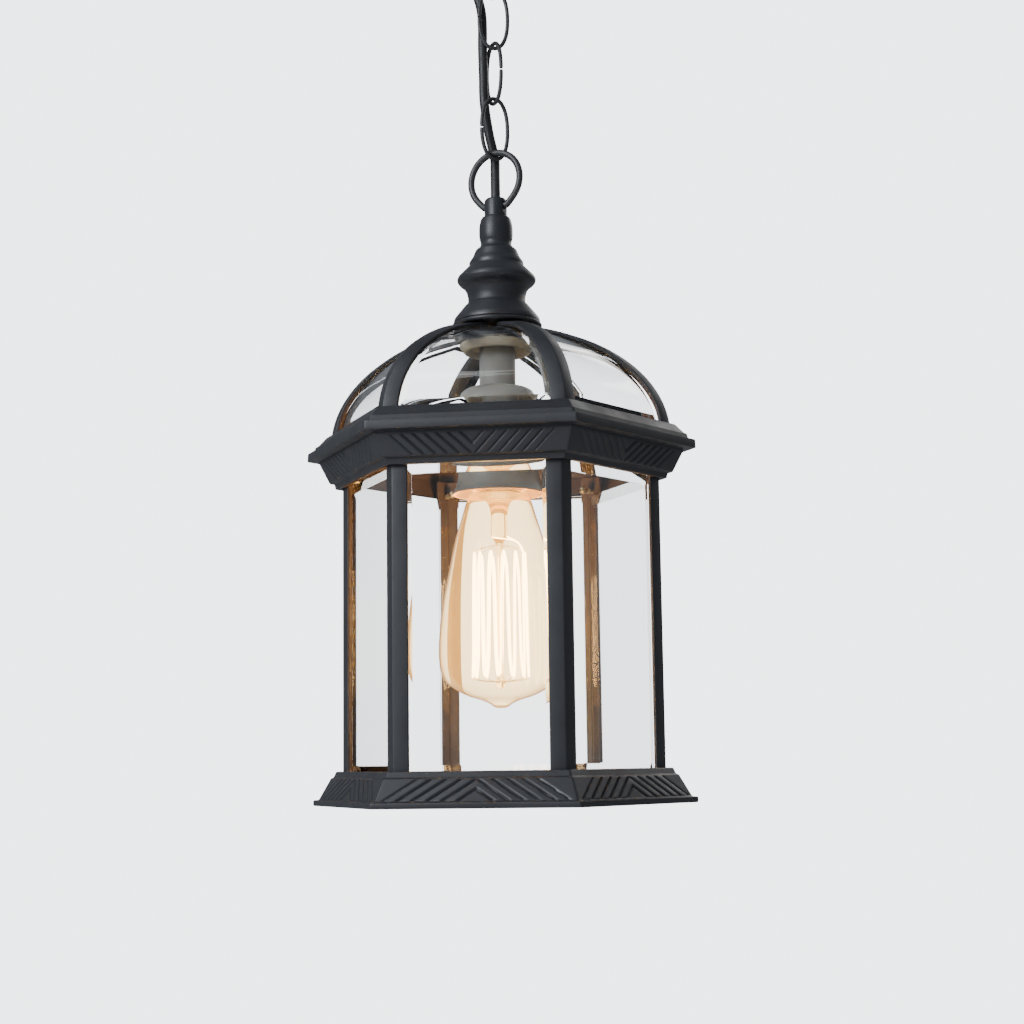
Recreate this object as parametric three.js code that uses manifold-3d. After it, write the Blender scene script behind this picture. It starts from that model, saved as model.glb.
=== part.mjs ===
// A hexagonal hanging lantern: a ceiling canopy, three chain links and a ring carry a glazed
// six-sided lantern with a domed roof, and a filament bulb hangs in a socket under the dome.
// Millimetres, +Z up. The origin is the ceiling plane, on the axis that the lantern hangs on.
// Heights below are measured from the underside of the base, and one group at the end lowers
// everything by CEILING_HEIGHT.
import * as THREE from 'three';
import { mergeVertices } from 'three/addons/utils/BufferGeometryUtils.js';
import Module from 'manifold-3d';

const wasm = await Module();
wasm.setup();

// ---------------------------------------------------------------- driving dimensions
const CEILING_HEIGHT = 481; // the ceiling plane above the underside of the base
const FIT_GAP = 0.3; // between pieces that touch
const FACES = 6;
const FACE_ANGLE = Math.PI / 3;
const APOTHEM = Math.cos(Math.PI / 6); // apothem of a hexagon with a corner radius of 1

const FRAME_WALL = 3.5; // thickness of the pressed frames, measured along a corner radius
const BASE_BAND_TOP = 17.5;
const GLASS_SHELF = 14; // the flange in the base that the posts and panes stand on
const SHELF_THICKNESS = 2;
const SHELF_INNER_RADIUS = 72;
const ROOF_BAND_BOTTOM = 165.7;
const ROOF_FRIEZE_RADIUS = 91.2; // at the foot of the flared frieze
const EAVE_RADIUS = 103.4;
const EAVE_BOTTOM = 181;
const ROOF_PLATE_TOP = 191.5;
const ROOF_PLATE_INNER_RADIUS = 81;
const CURB_TOP = 194; // the sloping curb that hides the feet of the ribs and of the dome panes

const POST_RADIUS = 84; // to the post's outer corner
const POST_LEG = 8;
const POST_THICKNESS = 2;
const POST_TOP = 178;
const PANE_THICKNESS = 3.4;
const PANE_HALF_WIDTH = 38.2;
const PANE_TOP = 167.5;
const PANE_BEVEL = 6;
const PANE_EDGE = 0.6; // thickness left at the bevelled edge
const SCREW_HEIGHT = 170;
const SCREW_SHANK = 1.5;
const SCREW_BALL = 2.1;
const SCREW_BALL_RADIUS = 72; // from the lantern's axis to the ball's centre

const DOME_CENTRE = 189; // the ribs follow a quarter of an ellipse
const DOME_RADIUS = 90.5;
const DOME_RISE = 61;
const RIB_LEG = 7.6;
const RIB_THICKNESS = 2;
const RIB_END_RADIUS = 15;
const DOME_GLASS_THICKNESS = 3.5;
const DOME_GLASS_TOP_RADIUS = 27.5; // rib radius at the panes' upper edge
const HUB_RADIUS = 20;
const HUB_TOP = 242.6;
const HUB_BOTTOM = 237;
const SPACER_RADIUS = 9.5;
const SPACER_TOP = 240.6;
const CAP_RADIUS = 23.8;

const NECK_RADIUS = 6;
const NECK_TOP = 320;
const NECK_BORE = 3;
const RING_PIVOT = 316; // height of the two holes through the neck
const FINIAL_FOOT = 252;
const NIPPLE_RADIUS = 4.85;
const NIPPLE_BORE = 3.3;
const THREAD_RADIUS = NIPPLE_RADIUS + FIT_GAP;
const NUT_WIDTH = 14;

const CUP_TOP = 217.5;
const CUP_RIM = 160;
const CUP_RADIUS = 20.9;
const SOCKET_TOP = 214;
const SOCKET_BOTTOM = 164;
const SOCKET_RADIUS = 18.6;
const SOCKET_CHAMBER = 192; // the top of the bore that holds the shell
const SOCKET_WIRE_HOLE = 4.2;
const SHELL_RADIUS = 14;
const SHELL_THREAD_RADIUS = 13.5;

const BULB_CAP_BOTTOM = 161.5;
const BULB_CAP_TOP = 184;
const BULB_CAP_RADIUS = 13.1;
const THREAD_PITCH = 3.629;
const FILAMENT_LOOPS = 12;
const FILAMENT_RADIUS = 14;
const FILAMENT_WIRE = 0.5;
const FILAMENT_CENTRE = 97;
const FILAMENT_REACH = 32; // from the middle of the cage to its upper and lower bends

const LINK_LENGTH = 35.8;
const LINK_WIDTH = 18;
const LINK_WIRE = 1.1;
const LINK_SEAM = 0.5;
const LINK_SQUARENESS = 0.88; // 1 is an ellipse, and less is squarer
const RING_CENTRE = 330.6;
const RING_RADIUS = 14.95;
const RING_WIRE = 1.8;
const LOOP_RADIUS = 9;
const LOOP_WIRE = 2;

// Directions that the planes of the ring, the links and the loop run in, seen from above.
const RING_TURN = -21.2;
const LOWER_LINK_TURN = 37.8;
const MIDDLE_LINK_TURN = -52.2;
const UPPER_LINK_TURN = 22.8;
const LOOP_TURN = UPPER_LINK_TURN - 90;

// Each link's top wire rests on the bottom wire of what it hangs from.
const LINK_REACH = LINK_LENGTH / 2 - LINK_WIRE; // a link's centre to the middle of its end wires
const LINK_STEP = 2 * LINK_REACH - 2 * LINK_WIRE - FIT_GAP;
const LOWER_LINK_HEIGHT = RING_CENTRE + RING_RADIUS - RING_WIRE - LINK_WIRE - FIT_GAP + LINK_REACH;
const MIDDLE_LINK_HEIGHT = LOWER_LINK_HEIGHT + LINK_STEP;
const UPPER_LINK_HEIGHT = MIDDLE_LINK_HEIGHT + LINK_STEP;
const LOOP_CENTRE = UPPER_LINK_HEIGHT + LINK_REACH - LINK_WIRE - LOOP_WIRE - FIT_GAP + LOOP_RADIUS;

const COLLAR_BOTTOM = LOOP_CENTRE + 5.7;
const CANOPY_BOTTOM = COLLAR_BOTTOM + 7;
const CANOPY_RADIUS = 58;
const CANOPY_FLAT = 22;
const CANOPY_WALL = 1.2;
const STRAP_WIDTH = 18;
const STRAP_LENGTH = 100;
const STRAP_THICKNESS = 2.2;
const STRAP_HOLE_OFFSET = 34;

const CORD_RADIUS = 2.55;
const CORD_HOLE = [-13.9, 4.1];
// From the ceiling fitting down beside the chain, through the ring and down the neck.
const CORD_ROUTE = [
  [-13.9, 4.1, 480],
  [-13.9, 4.1, 468],
  [-13.9, 4.1, 458],
  [-13.8, 4.1, 450],
  [-12.5, 3.7, 444],
  [-10.1, 3.0, 438],
  [-7.8, 2.3, 431],
  [-6.6, 1.9, 424],
  [-6.3, 1.7, 416],
  [-6.4, 1.6, 406],
  [-6.0, 1.1, 390],
  [-5.7, 0.8, 375],
  [-3.7, 3.7, 358],
  [-1.0, 5.4, 344],
  [-0.6, 3.6, 336],
  [-0.2, 1.2, 328.5],
  [0, 0.1, 322],
  [0, 0, 316],
  [0, 0, 290],
  [0, 0, 250],
  [0, 0, SOCKET_TOP + 8],
];

// ---------------------------------------------------------------- materials
const metal = (color, roughness, metalness = 1) =>
  new THREE.MeshStandardMaterial({ color, roughness, metalness });
const black = metal(0x2b2c2f, 0.48, 0.6);
const steel = metal(0xb9bbbd, 0.3);
const brass = metal(0xb08d4a, 0.32);
const copper = metal(0xb4714a, 0.35);
const grey = metal(0x6f6c68, 0.45, 0.7);
const clearGlass = new THREE.MeshStandardMaterial({
  color: 0xf1f6f5, roughness: 0.03, metalness: 0, transparent: true, opacity: 0.25,
});
const cordSheath = metal(0x1b1b1d, 0.55, 0);
const ceramic = metal(0xe8e2d6, 0.35, 0);
const blackGlass = metal(0x121214, 0.2, 0);
const hotWire = new THREE.MeshStandardMaterial({
  color: 0xffc27a, roughness: 0.4, metalness: 0, emissive: 0xff9a3c, emissiveIntensity: 4,
});

// ---------------------------------------------------------------- helpers
const lantern = new THREE.Group();
const radians = THREE.MathUtils.degToRad;

/** The geometry with its faces turned outwards, welded, and without what merging would split. */
function closed(geometry) {
  const bare = geometry.clone();
  bare.deleteAttribute('normal');
  bare.deleteAttribute('uv');
  const welded = mergeVertices(bare, 1e-4);
  const at = welded.attributes.position;
  const index = Array.from(welded.index.array);
  const corners = [new THREE.Vector3(), new THREE.Vector3(), new THREE.Vector3()];
  let volume = 0;
  const kept = [];
  for (let i = 0; i < index.length; i += 3) {
    const [a, b, c] = index.slice(i, i + 3);
    if (a === b || b === c || c === a) continue;
    corners.forEach((corner, k) => corner.fromBufferAttribute(at, index[i + k]));
    volume += corners[0].dot(corners[1].clone().cross(corners[2]));
    kept.push(a, b, c);
  }
  if (volume < 0) kept.reverse();
  welded.setIndex(kept);
  return welded;
}

/** A manifold-3d solid of a closed geometry. */
function solid(geometry) {
  const whole = closed(geometry);
  return new wasm.Manifold(new wasm.Mesh({
    numProp: 3,
    vertProperties: new Float32Array(whole.attributes.position.array),
    triVerts: new Uint32Array(whole.index.array),
  }));
}

/** The geometry of a manifold-3d solid. */
function geometryOf(body) {
  const mesh = body.getMesh();
  const geometry = new THREE.BufferGeometry();
  geometry.setAttribute('position', new THREE.BufferAttribute(mesh.vertProperties, 3));
  geometry.setIndex(new THREE.BufferAttribute(mesh.triVerts, 1));
  return geometry;
}

/** A body turned round the Z axis. The profile is [radius, height] pairs round a closed outline. */
function turned(profile, segments, start = 0) {
  const points = profile.map(([r, z]) => new THREE.Vector2(r, z));
  const openOnAxis = profile[0][0] === 0 && profile[profile.length - 1][0] === 0;
  if (!openOnAxis) points.push(points[0].clone());
  return new THREE.LatheGeometry(points, segments, start).rotateX(Math.PI / 2);
}

/** A six-sided ring with its corners at 0, 60, ... degrees. Radii are to the corners. */
const hexRing = (profile) => turned(profile, FACES, Math.PI / 2);

/** A tube along a curve, with flat ends. */
function tube(path, radius, sides, steps) {
  const section = new THREE.Shape();
  for (let i = 0; i < sides; i++) {
    const angle = (2 * Math.PI * i) / sides;
    const x = radius * Math.cos(angle);
    const y = radius * Math.sin(angle);
    if (i === 0) section.moveTo(x, y);
    else section.lineTo(x, y);
  }
  section.closePath();
  return new THREE.ExtrudeGeometry(section, { steps, extrudePath: path });
}

/** A cylinder along Z from one height to another. */
function rod(radius, bottom, top, segments = 20) {
  return new THREE.CylinderGeometry(radius, radius, top - bottom, segments)
    .rotateX(Math.PI / 2)
    .translate(0, 0, (top + bottom) / 2);
}

/** A tube along Z from one height to another. */
const sleeve = (inner, outer, bottom, top, segments = 24) =>
  turned([[outer, bottom], [outer, top], [inner, top], [inner, bottom]], segments);

/** A hexagonal nut along Z with a clear bore. */
function hexNut(acrossFlats, bore, bottom, top) {
  const outer = solid(rod(acrossFlats / 2 / APOTHEM, bottom, top, FACES));
  return geometryOf(outer.subtract(solid(rod(bore, bottom - 1, top + 1))));
}

/** Points on an arc of an ellipse in [radius, height], from one angle to another in degrees. */
function arc(centreR, centreZ, radiusR, radiusZ, from, to, count) {
  return Array.from({ length: count + 1 }, (_, i) => {
    const angle = radians(from + ((to - from) * i) / count);
    return [centreR + radiusR * Math.cos(angle), centreZ + radiusZ * Math.sin(angle)];
  });
}

/** Adds a named piece. */
function piece(name, geometry, material, parent = lantern) {
  const mesh = new THREE.Mesh(closed(geometry), material);
  mesh.name = name;
  parent.add(mesh);
  return mesh;
}

/** Adds six copies of a piece, one to each face or corner, numbered anticlockwise. */
function aroundFaces(name, geometry, material, firstAngle = 0) {
  for (let i = 0; i < FACES; i++) {
    piece(`${name}_${i + 1}`, geometry, material).rotation.z = firstAngle + i * FACE_ANGLE;
  }
}

// ---------------------------------------------------------------- ceiling fitting
function ceilingStrap() {
  const top = CEILING_HEIGHT;
  const bottom = top - STRAP_THICKNESS;
  const box = new THREE.BoxGeometry(STRAP_WIDTH, STRAP_LENGTH, STRAP_THICKNESS);
  const bar = solid(box.translate(0, 0, (top + bottom) / 2));
  let holes = solid(rod(THREAD_RADIUS, bottom - 1, top + 1));
  for (const side of [-1, 1]) {
    const hole = rod(2.4, bottom - 1, top + 1, 12).translate(0, side * STRAP_HOLE_OFFSET, 0);
    holes = holes.add(solid(hole));
  }
  return geometryOf(bar.subtract(holes));
}

function strapScrew() {
  const head = CEILING_HEIGHT - STRAP_THICKNESS - FIT_GAP;
  return turned([
    [0, head - 2.6], [2.4, head - 2.4], [3.8, head - 1.2], [4, head],
    [1.9, head], [1.9, CEILING_HEIGHT + 9], [0, CEILING_HEIGHT + 10],
  ], 12);
}

function canopy() {
  const rimHeight = CEILING_HEIGHT - FIT_GAP;
  const rise = rimHeight - CANOPY_BOTTOM;
  const reach = CANOPY_RADIUS - CANOPY_FLAT;
  const outside = arc(CANOPY_FLAT, rimHeight, reach, rise, -90, 0, 7);
  const inside = arc(CANOPY_FLAT, rimHeight, reach - CANOPY_WALL, rise - CANOPY_WALL, 0, -90, 7);
  const dish = turned([
    [THREAD_RADIUS, CANOPY_BOTTOM], ...outside, ...inside,
    [THREAD_RADIUS, CANOPY_BOTTOM + CANOPY_WALL],
  ], 28);
  const cordHole = rod(4.4, CANOPY_BOTTOM - 2, CANOPY_BOTTOM + 4, 16)
    .translate(CORD_HOLE[0], CORD_HOLE[1], 0);
  return geometryOf(solid(dish).subtract(solid(cordHole)));
}

function canopyLoop() {
  const top = CANOPY_BOTTOM - FIT_GAP;
  const collar = solid(turned([
    [0, COLLAR_BOTTOM], [6.5, COLLAR_BOTTOM], [8, COLLAR_BOTTOM + 1.5], [8, top], [0, top],
  ], 24));
  const ring = new THREE.TorusGeometry(LOOP_RADIUS, LOOP_WIRE, 8, 24)
    .rotateX(Math.PI / 2)
    .rotateZ(radians(LOOP_TURN))
    .translate(0, 0, LOOP_CENTRE);
  const bore = solid(rod(THREAD_RADIUS, COLLAR_BOTTOM + 2, top + 1));
  return geometryOf(collar.add(solid(ring)).subtract(bore));
}

/** The strain relief that lines the cord's hole in the canopy and tapers down along the cord. */
function cordBushing() {
  const bore = CORD_RADIUS + FIT_GAP;
  return turned([
    [bore, CANOPY_BOTTOM - 6], [bore + 0.6, CANOPY_BOTTOM - 6], [4.6, CANOPY_BOTTOM - 2.2],
    [5.6, CANOPY_BOTTOM - FIT_GAP], [4.1, CANOPY_BOTTOM - FIT_GAP], [4.1, CANOPY_BOTTOM + 3.5],
    [bore, CANOPY_BOTTOM + 3.5],
  ], 16).translate(CORD_HOLE[0], CORD_HOLE[1], 0);
}

// ---------------------------------------------------------------- chain, ring and cord
/** The middle of a chain link's wire, an oval, from one side of its seam round to the other. */
class LinkCurve extends THREE.Curve {
  getPoint(t, target = new THREE.Vector3()) {
    const seamShare = LINK_SEAM / (LINK_LENGTH * 2.4); // the gap's share of the whole way round
    const angle = 2 * Math.PI * (seamShare / 2 + t * (1 - seamShare));
    const swell = (value) => Math.sign(value) * Math.abs(value) ** LINK_SQUARENESS;
    const side = LINK_WIDTH / 2 - LINK_WIRE;
    return target.set(side * swell(Math.cos(angle)), 0, LINK_REACH * swell(Math.sin(angle)));
  }
}

/** Half of the hanging ring's wire: straight in the neck's hole, then round to the other hole. */
class RingCurve extends THREE.Curve {
  getPoint(t, target = new THREE.Vector3()) {
    const inner = NECK_BORE + FIT_GAP;
    const open = radians(50); // where the round part starts, from straight below
    const drop = RING_PIVOT - RING_CENTRE;
    const foot = [RING_RADIUS * Math.sin(open), -RING_RADIUS * Math.cos(open)];
    const knee = foot[0] + (drop - foot[1]) / Math.tan(open);
    const straightEnd = NECK_RADIUS + FIT_GAP;
    const straight = 0.04; // shares of the path that are straight and that curve up to the round
    const curved = 0.08;
    const side = t < 0.5 ? -1 : 1;
    const s = t < 0.5 ? t : 1 - t;
    if (s < straight) {
      return target.set(side * (inner + ((straightEnd - inner) * s) / straight), 0, drop);
    }
    if (s < straight + curved) {
      const u = (s - straight) / curved;
      const x = (1 - u) ** 2 * straightEnd + 2 * u * (1 - u) * knee + u * u * foot[0];
      const z = (1 - u) ** 2 * drop + 2 * u * (1 - u) * drop + u * u * foot[1];
      return target.set(side * x, 0, z);
    }
    const u = (s - straight - curved) / (0.5 - straight - curved);
    const angle = open + u * (Math.PI - open);
    return target.set(side * RING_RADIUS * Math.sin(angle), 0, -RING_RADIUS * Math.cos(angle));
  }
}

function chainLink(name, height, turn) {
  const link = piece(name, tube(new LinkCurve(), LINK_WIRE, 8, 28), black);
  link.position.z = height;
  link.rotation.z = radians(turn);
}

function cord() {
  const route = new THREE.CatmullRomCurve3(CORD_ROUTE.map((p) => new THREE.Vector3(...p)));
  return tube(route, CORD_RADIUS, 10, 42);
}

// ---------------------------------------------------------------- finial, stem and socket
function finial() {
  const foot = FINIAL_FOOT;
  const outside = [
    [22.9, foot], [22.9, foot + 1.2], [22.4, foot + 2.4], [17.2, foot + 8.8], [15.5, foot + 10.3],
    [15.2, foot + 12], [15.3, foot + 14.2], [16.2, foot + 17.4], [17.6, foot + 19.4],
    [19.8, foot + 21], [21, foot + 23.6], [20.4, foot + 25], [14.9, foot + 30.5],
    [14.5, foot + 32.8], [12.4, foot + 36], [10.9, foot + 39.8], [9, foot + 41],
    [8.2, foot + 42.6], [8.2, foot + 44], [9, foot + 47.6], [9, foot + 51.6],
    [8.1, foot + 56.4], [7.4, foot + 57.6], [NECK_RADIUS, foot + 58.2],
    [NECK_RADIUS, NECK_TOP - 1.8], [NECK_RADIUS - 1, NECK_TOP], [NECK_BORE + 0.8, NECK_TOP],
    [NECK_BORE, NECK_TOP - 1],
  ];
  const socketTop = foot + 22; // the nipple's thread ends here
  const body = solid(turned([
    ...outside, [NECK_BORE, socketTop], [THREAD_RADIUS, socketTop], [THREAD_RADIUS, foot],
  ], 24));
  const holes = rod(RING_WIRE + FIT_GAP, -NECK_RADIUS - 1, NECK_RADIUS + 1, 16)
    .rotateY(Math.PI / 2)
    .rotateZ(radians(RING_TURN))
    .translate(0, 0, RING_PIVOT);
  return geometryOf(body.subtract(solid(holes)));
}

function domeCap() {
  const bottom = FINIAL_FOOT - 2.8;
  const top = FINIAL_FOOT - FIT_GAP;
  return turned([
    [THREAD_RADIUS, bottom], [CAP_RADIUS - 0.6, bottom], [CAP_RADIUS, bottom + 0.8],
    [CAP_RADIUS, top - 0.8], [CAP_RADIUS - 0.8, top], [THREAD_RADIUS, top],
  ], 28);
}

/** The bowl under the ribs, which the spacer presses up against them. */
function domeHub() {
  return turned([
    [THREAD_RADIUS, HUB_TOP], [HUB_RADIUS - 1, HUB_TOP], [HUB_RADIUS, HUB_TOP - 0.8],
    [HUB_RADIUS - 0.3, HUB_TOP - 2.2], [HUB_RADIUS - 2.6, HUB_BOTTOM + 0.4],
    [HUB_RADIUS - 3.4, HUB_BOTTOM], [HUB_RADIUS - 4.1, HUB_BOTTOM + 0.6],
    [HUB_RADIUS - 6.4, SPACER_TOP - 0.4], [SPACER_RADIUS + 1, SPACER_TOP + FIT_GAP],
    [THREAD_RADIUS, SPACER_TOP + FIT_GAP],
  ], 24);
}

function socketCup() {
  const wall = 1.2;
  const shoulder = 4;
  return turned([
    [THREAD_RADIUS, CUP_TOP],
    ...arc(CUP_RADIUS - shoulder, CUP_TOP - shoulder, shoulder, shoulder, 90, 0, 4),
    [CUP_RADIUS, CUP_RIM + 12],
    [CUP_RADIUS + 1.2, CUP_RIM + 5],
    [CUP_RADIUS + 3.6, CUP_RIM],
    [CUP_RADIUS + 2.2, CUP_RIM],
    [CUP_RADIUS - 0.1, CUP_RIM + 5.6],
    [CUP_RADIUS - wall, CUP_RIM + 12.4],
    ...arc(CUP_RADIUS - shoulder, CUP_TOP - shoulder, shoulder - wall, shoulder - wall, 0, 90, 3),
    [THREAD_RADIUS, CUP_TOP - wall],
  ], 26);
}

function socketInsulator() {
  const bore = SHELL_RADIUS + FIT_GAP;
  return turned([
    [THREAD_RADIUS, SOCKET_TOP], [SOCKET_RADIUS - 2, SOCKET_TOP], [SOCKET_RADIUS, SOCKET_TOP - 2],
    [SOCKET_RADIUS, SOCKET_BOTTOM], [bore + 1.4, SOCKET_BOTTOM - 0.6], [bore, SOCKET_BOTTOM],
    [bore, SOCKET_CHAMBER], [SOCKET_WIRE_HOLE, SOCKET_CHAMBER],
    [SOCKET_WIRE_HOLE, SOCKET_CHAMBER + 8], [THREAD_RADIUS, SOCKET_CHAMBER + 11],
  ], 22);
}

/** Thread rings between two heights: the radius swings between crest and root once each pitch. */
function threadOutline(crest, root, bottom, turns) {
  const points = [];
  for (let i = 0; i < turns; i++) {
    const z = bottom + i * THREAD_PITCH;
    points.push([root, z], [crest, z + THREAD_PITCH / 2]);
  }
  points.push([root, bottom + turns * THREAD_PITCH]);
  return points;
}

/** The screw shell. Its thread is drawn as plain rings of the crest radius. */
function socketShell() {
  const bottom = SOCKET_BOTTOM + 0.5;
  const top = SOCKET_CHAMBER - FIT_GAP;
  return turned([
    [SHELL_RADIUS, bottom], [SHELL_RADIUS, top], [6, top], [6, top - 0.5],
    [SHELL_THREAD_RADIUS, top - 0.5], [SHELL_THREAD_RADIUS, bottom],
  ], 22);
}

/** The spring contact in the middle of the socket, which goes up into its wire hole. */
function socketContact() {
  const bottom = SOCKET_CHAMBER - 2.6;
  const radius = SOCKET_WIRE_HOLE - 0.4;
  return turned([
    [0, bottom], [radius - 0.8, bottom + 0.4], [radius, bottom + 1.6], [radius, bottom + 8.6],
    [0, bottom + 8.6],
  ], 14);
}

// ---------------------------------------------------------------- bulb
function bulbCap() {
  const crest = BULB_CAP_RADIUS;
  const root = BULB_CAP_RADIUS - 0.9;
  const wall = 0.6;
  const thread = threadOutline(crest, root, BULB_CAP_BOTTOM + 4, 4);
  return turned([
    [root - wall, BULB_CAP_BOTTOM], [root, BULB_CAP_BOTTOM], ...thread,
    [8, BULB_CAP_TOP - 0.6], [8, BULB_CAP_TOP], [7, BULB_CAP_TOP], [7, BULB_CAP_TOP - 1.4],
    [root - wall, BULB_CAP_TOP - 3.6],
  ], 24);
}

function bulbInsulator() {
  return turned([
    [0, BULB_CAP_TOP - 3], [6.7, BULB_CAP_TOP - 3], [6.7, BULB_CAP_TOP + 1],
    [5.4, BULB_CAP_TOP + 2.6], [0, BULB_CAP_TOP + 2.6],
  ], 20);
}

function bulbContact() {
  const bottom = BULB_CAP_TOP + 2.6 + FIT_GAP;
  return turned([
    [0, bottom], [4.6, bottom], [4.2, bottom + 1], [2.4, bottom + 1.7], [0, bottom + 1.9],
  ], 16);
}

function bulbGlass() {
  const wall = 1;
  const outside = [
    [14.4, BULB_CAP_BOTTOM - FIT_GAP], [16.9, 156.3], [22.6, 137.8], [26.5, 119.5], [29.6, 104.3],
    [31.5, 88.5], [32, 79.4], [31.4, 69.6], [28.8, 62.8], [24.8, 59.4], [17.4, 55.4], [9.4, 52.8],
    [4, 49.6], [0, 48.9],
  ];
  const inside = outside.slice(1).map(([r, z]) => {
    return [Math.max(0, r - wall), r === 0 ? z + wall : z + 0.5];
  });
  return turned([
    ...outside.toReversed(), [11.6, BULB_CAP_BOTTOM - FIT_GAP], ...inside,
  ], 24);
}

/** The glass mount: a flare in the neck, the pressed seal and the rod that carries the hooks. */
function bulbStem() {
  return turned([
    [0, 159], [11, 160.6], [11.2, 159.4], [6.4, 156], [4.4, 150], [4.2, 138], [1.7, 134],
    [1.5, 64], [2.6, 62], [1.6, 59.6], [0, 59],
  ], 16);
}

/** A cage of long wire loops that run up and down round the stem. */
class FilamentCurve extends THREE.Curve {
  getPoint(t, target = new THREE.Vector3()) {
    const swing = Math.cos(2 * Math.PI * t * FILAMENT_LOOPS);
    const softened = Math.sign(swing) * Math.abs(swing) ** 0.45;
    const angle = t * 2 * Math.PI * 0.96; // the cage is open where the two lead wires come in
    const radius = FILAMENT_RADIUS - 0.6 * swing;
    const z = FILAMENT_CENTRE + FILAMENT_REACH * softened;
    return target.set(radius * Math.cos(angle), radius * Math.sin(angle), z);
  }
}

// ---------------------------------------------------------------- lantern body
function baseFrame() {
  return hexRing([
    [100, 0], [100, 2.9], [97, 3.1], [90.4, 14.2], [89.2, 14.4], [87.7, BASE_BAND_TOP],
    [84.4, BASE_BAND_TOP], [84.4, GLASS_SHELF], [SHELF_INNER_RADIUS, GLASS_SHELF],
    [SHELF_INNER_RADIUS, GLASS_SHELF - SHELF_THICKNESS], [87.2, GLASS_SHELF - SHELF_THICKNESS],
    [93.4, 1.8], [96.5, 0],
  ]);
}

function roofFrame() {
  const inner = ROOF_PLATE_INNER_RADIUS;
  const top = ROOF_FRIEZE_RADIUS + 5.7;
  const ring = hexRing([
    [88, ROOF_BAND_BOTTOM], [88.6, ROOF_BAND_BOTTOM + 2.7], [ROOF_FRIEZE_RADIUS, 168.9],
    [top, 179.8], [top, EAVE_BOTTOM], [EAVE_RADIUS, EAVE_BOTTOM],
    [EAVE_RADIUS - 0.2, EAVE_BOTTOM + 4.6], [99.8, EAVE_BOTTOM + 4.8], [99, EAVE_BOTTOM + 7.8],
    [97.8, EAVE_BOTTOM + 8], [92.8, CURB_TOP], [91.1, CURB_TOP], [91.1, ROOF_PLATE_TOP],
    [inner, ROOF_PLATE_TOP], [inner, ROOF_PLATE_TOP - 2.3], [92.6, ROOF_PLATE_TOP - 2.3],
    [top - FRAME_WALL, 180.4], [ROOF_FRIEZE_RADIUS - FRAME_WALL, 169.4],
    [84.5, ROOF_BAND_BOTTOM + 2.9], [84.5, ROOF_BAND_BOTTOM],
  ]);
  let body = solid(ring);
  for (let i = 0; i < FACES; i++) {
    body = body.subtract(solid(radialRod(SCREW_SHANK + FIT_GAP, 82, 89.6, i)));
  }
  return geometryOf(body);
}

/** A rod that lies at screw height along one corner's radius. */
function radialRod(radius, from, to, corner) {
  return rod(radius, from, to, 12)
    .rotateY(Math.PI / 2)
    .rotateZ(corner * FACE_ANGLE)
    .translate(0, 0, SCREW_HEIGHT);
}

/** Outline of an angle section whose corner points along +X, with its legs along two faces. */
function angleOutline(corner, leg, thickness) {
  const point = (distance, side, inset) => {
    // distance along a leg from the corner, and inset at right angles to it, inwards
    const x = corner - distance * 0.5 - inset * APOTHEM;
    const y = side * (distance * APOTHEM - inset * 0.5);
    return [x, y];
  };
  return [
    [corner, 0], point(leg, 1, 0), point(leg, 1, thickness), [corner - thickness / APOTHEM, 0],
    point(leg, -1, thickness), point(leg, -1, 0),
  ];
}

function cornerPost() {
  const outline = angleOutline(POST_RADIUS, POST_LEG, POST_THICKNESS);
  const section = new THREE.Shape(outline.map(([x, y]) => new THREE.Vector2(x, y)));
  const bottom = GLASS_SHELF + FIT_GAP;
  const extrusion = { depth: POST_TOP - bottom, bevelEnabled: false };
  const angle = new THREE.ExtrudeGeometry(section, extrusion).translate(0, 0, bottom);
  return geometryOf(solid(angle).subtract(solid(radialRod(SCREW_SHANK + FIT_GAP, 76, 88, 0))));
}

/** A ball-headed screw that ties a post's top to the roof frame from inside. */
function cornerScrew() {
  const ball = arc(0, SCREW_BALL_RADIUS, SCREW_BALL, SCREW_BALL, -90, 45, 5);
  ball[0][0] = 0; // the cosine of a right angle isn't exactly zero
  return turned([...ball, [SCREW_SHANK, SCREW_BALL_RADIUS + 2], [SCREW_SHANK, 89], [0, 89.3]], 10)
    .rotateY(Math.PI / 2)
    .translate(0, 0, SCREW_HEIGHT);
}

/** A flat pane, bevelled all round on its outer side, whose outward normal is +X. */
function wallGlass() {
  const outer = POST_RADIUS * APOTHEM - POST_THICKNESS - FIT_GAP;
  const bottom = GLASS_SHELF + FIT_GAP;
  const rectangle = (x, half, low, high) =>
    [[x, -half, low], [x, half, low], [x, half, high], [x, -half, high]];
  const back = rectangle(outer - PANE_THICKNESS, PANE_HALF_WIDTH, bottom, PANE_TOP);
  const edge = rectangle(outer - PANE_THICKNESS + PANE_EDGE, PANE_HALF_WIDTH, bottom, PANE_TOP);
  const front = rectangle(
    outer, PANE_HALF_WIDTH - PANE_BEVEL, bottom + PANE_BEVEL, PANE_TOP - PANE_BEVEL,
  );
  return layered([back, edge, front]);
}

/** A closed body through a list of loops of points: each loop joins the next, both ends capped. */
function layered(loops) {
  const size = loops[0].length;
  const index = [];
  for (let k = 0; k + 1 < loops.length; k++) {
    for (let i = 0; i < size; i++) {
      const a = k * size + i;
      const b = k * size + ((i + 1) % size);
      index.push(a, b, b + size, a, b + size, a + size);
    }
  }
  const last = (loops.length - 1) * size;
  for (let i = 1; i + 1 < size; i++) {
    index.push(0, i + 1, i, last, last + i, last + i + 1);
  }
  const geometry = new THREE.BufferGeometry();
  geometry.setAttribute('position', new THREE.Float32BufferAttribute(loops.flat(2), 3));
  geometry.setIndex(index);
  return geometry;
}

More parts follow.
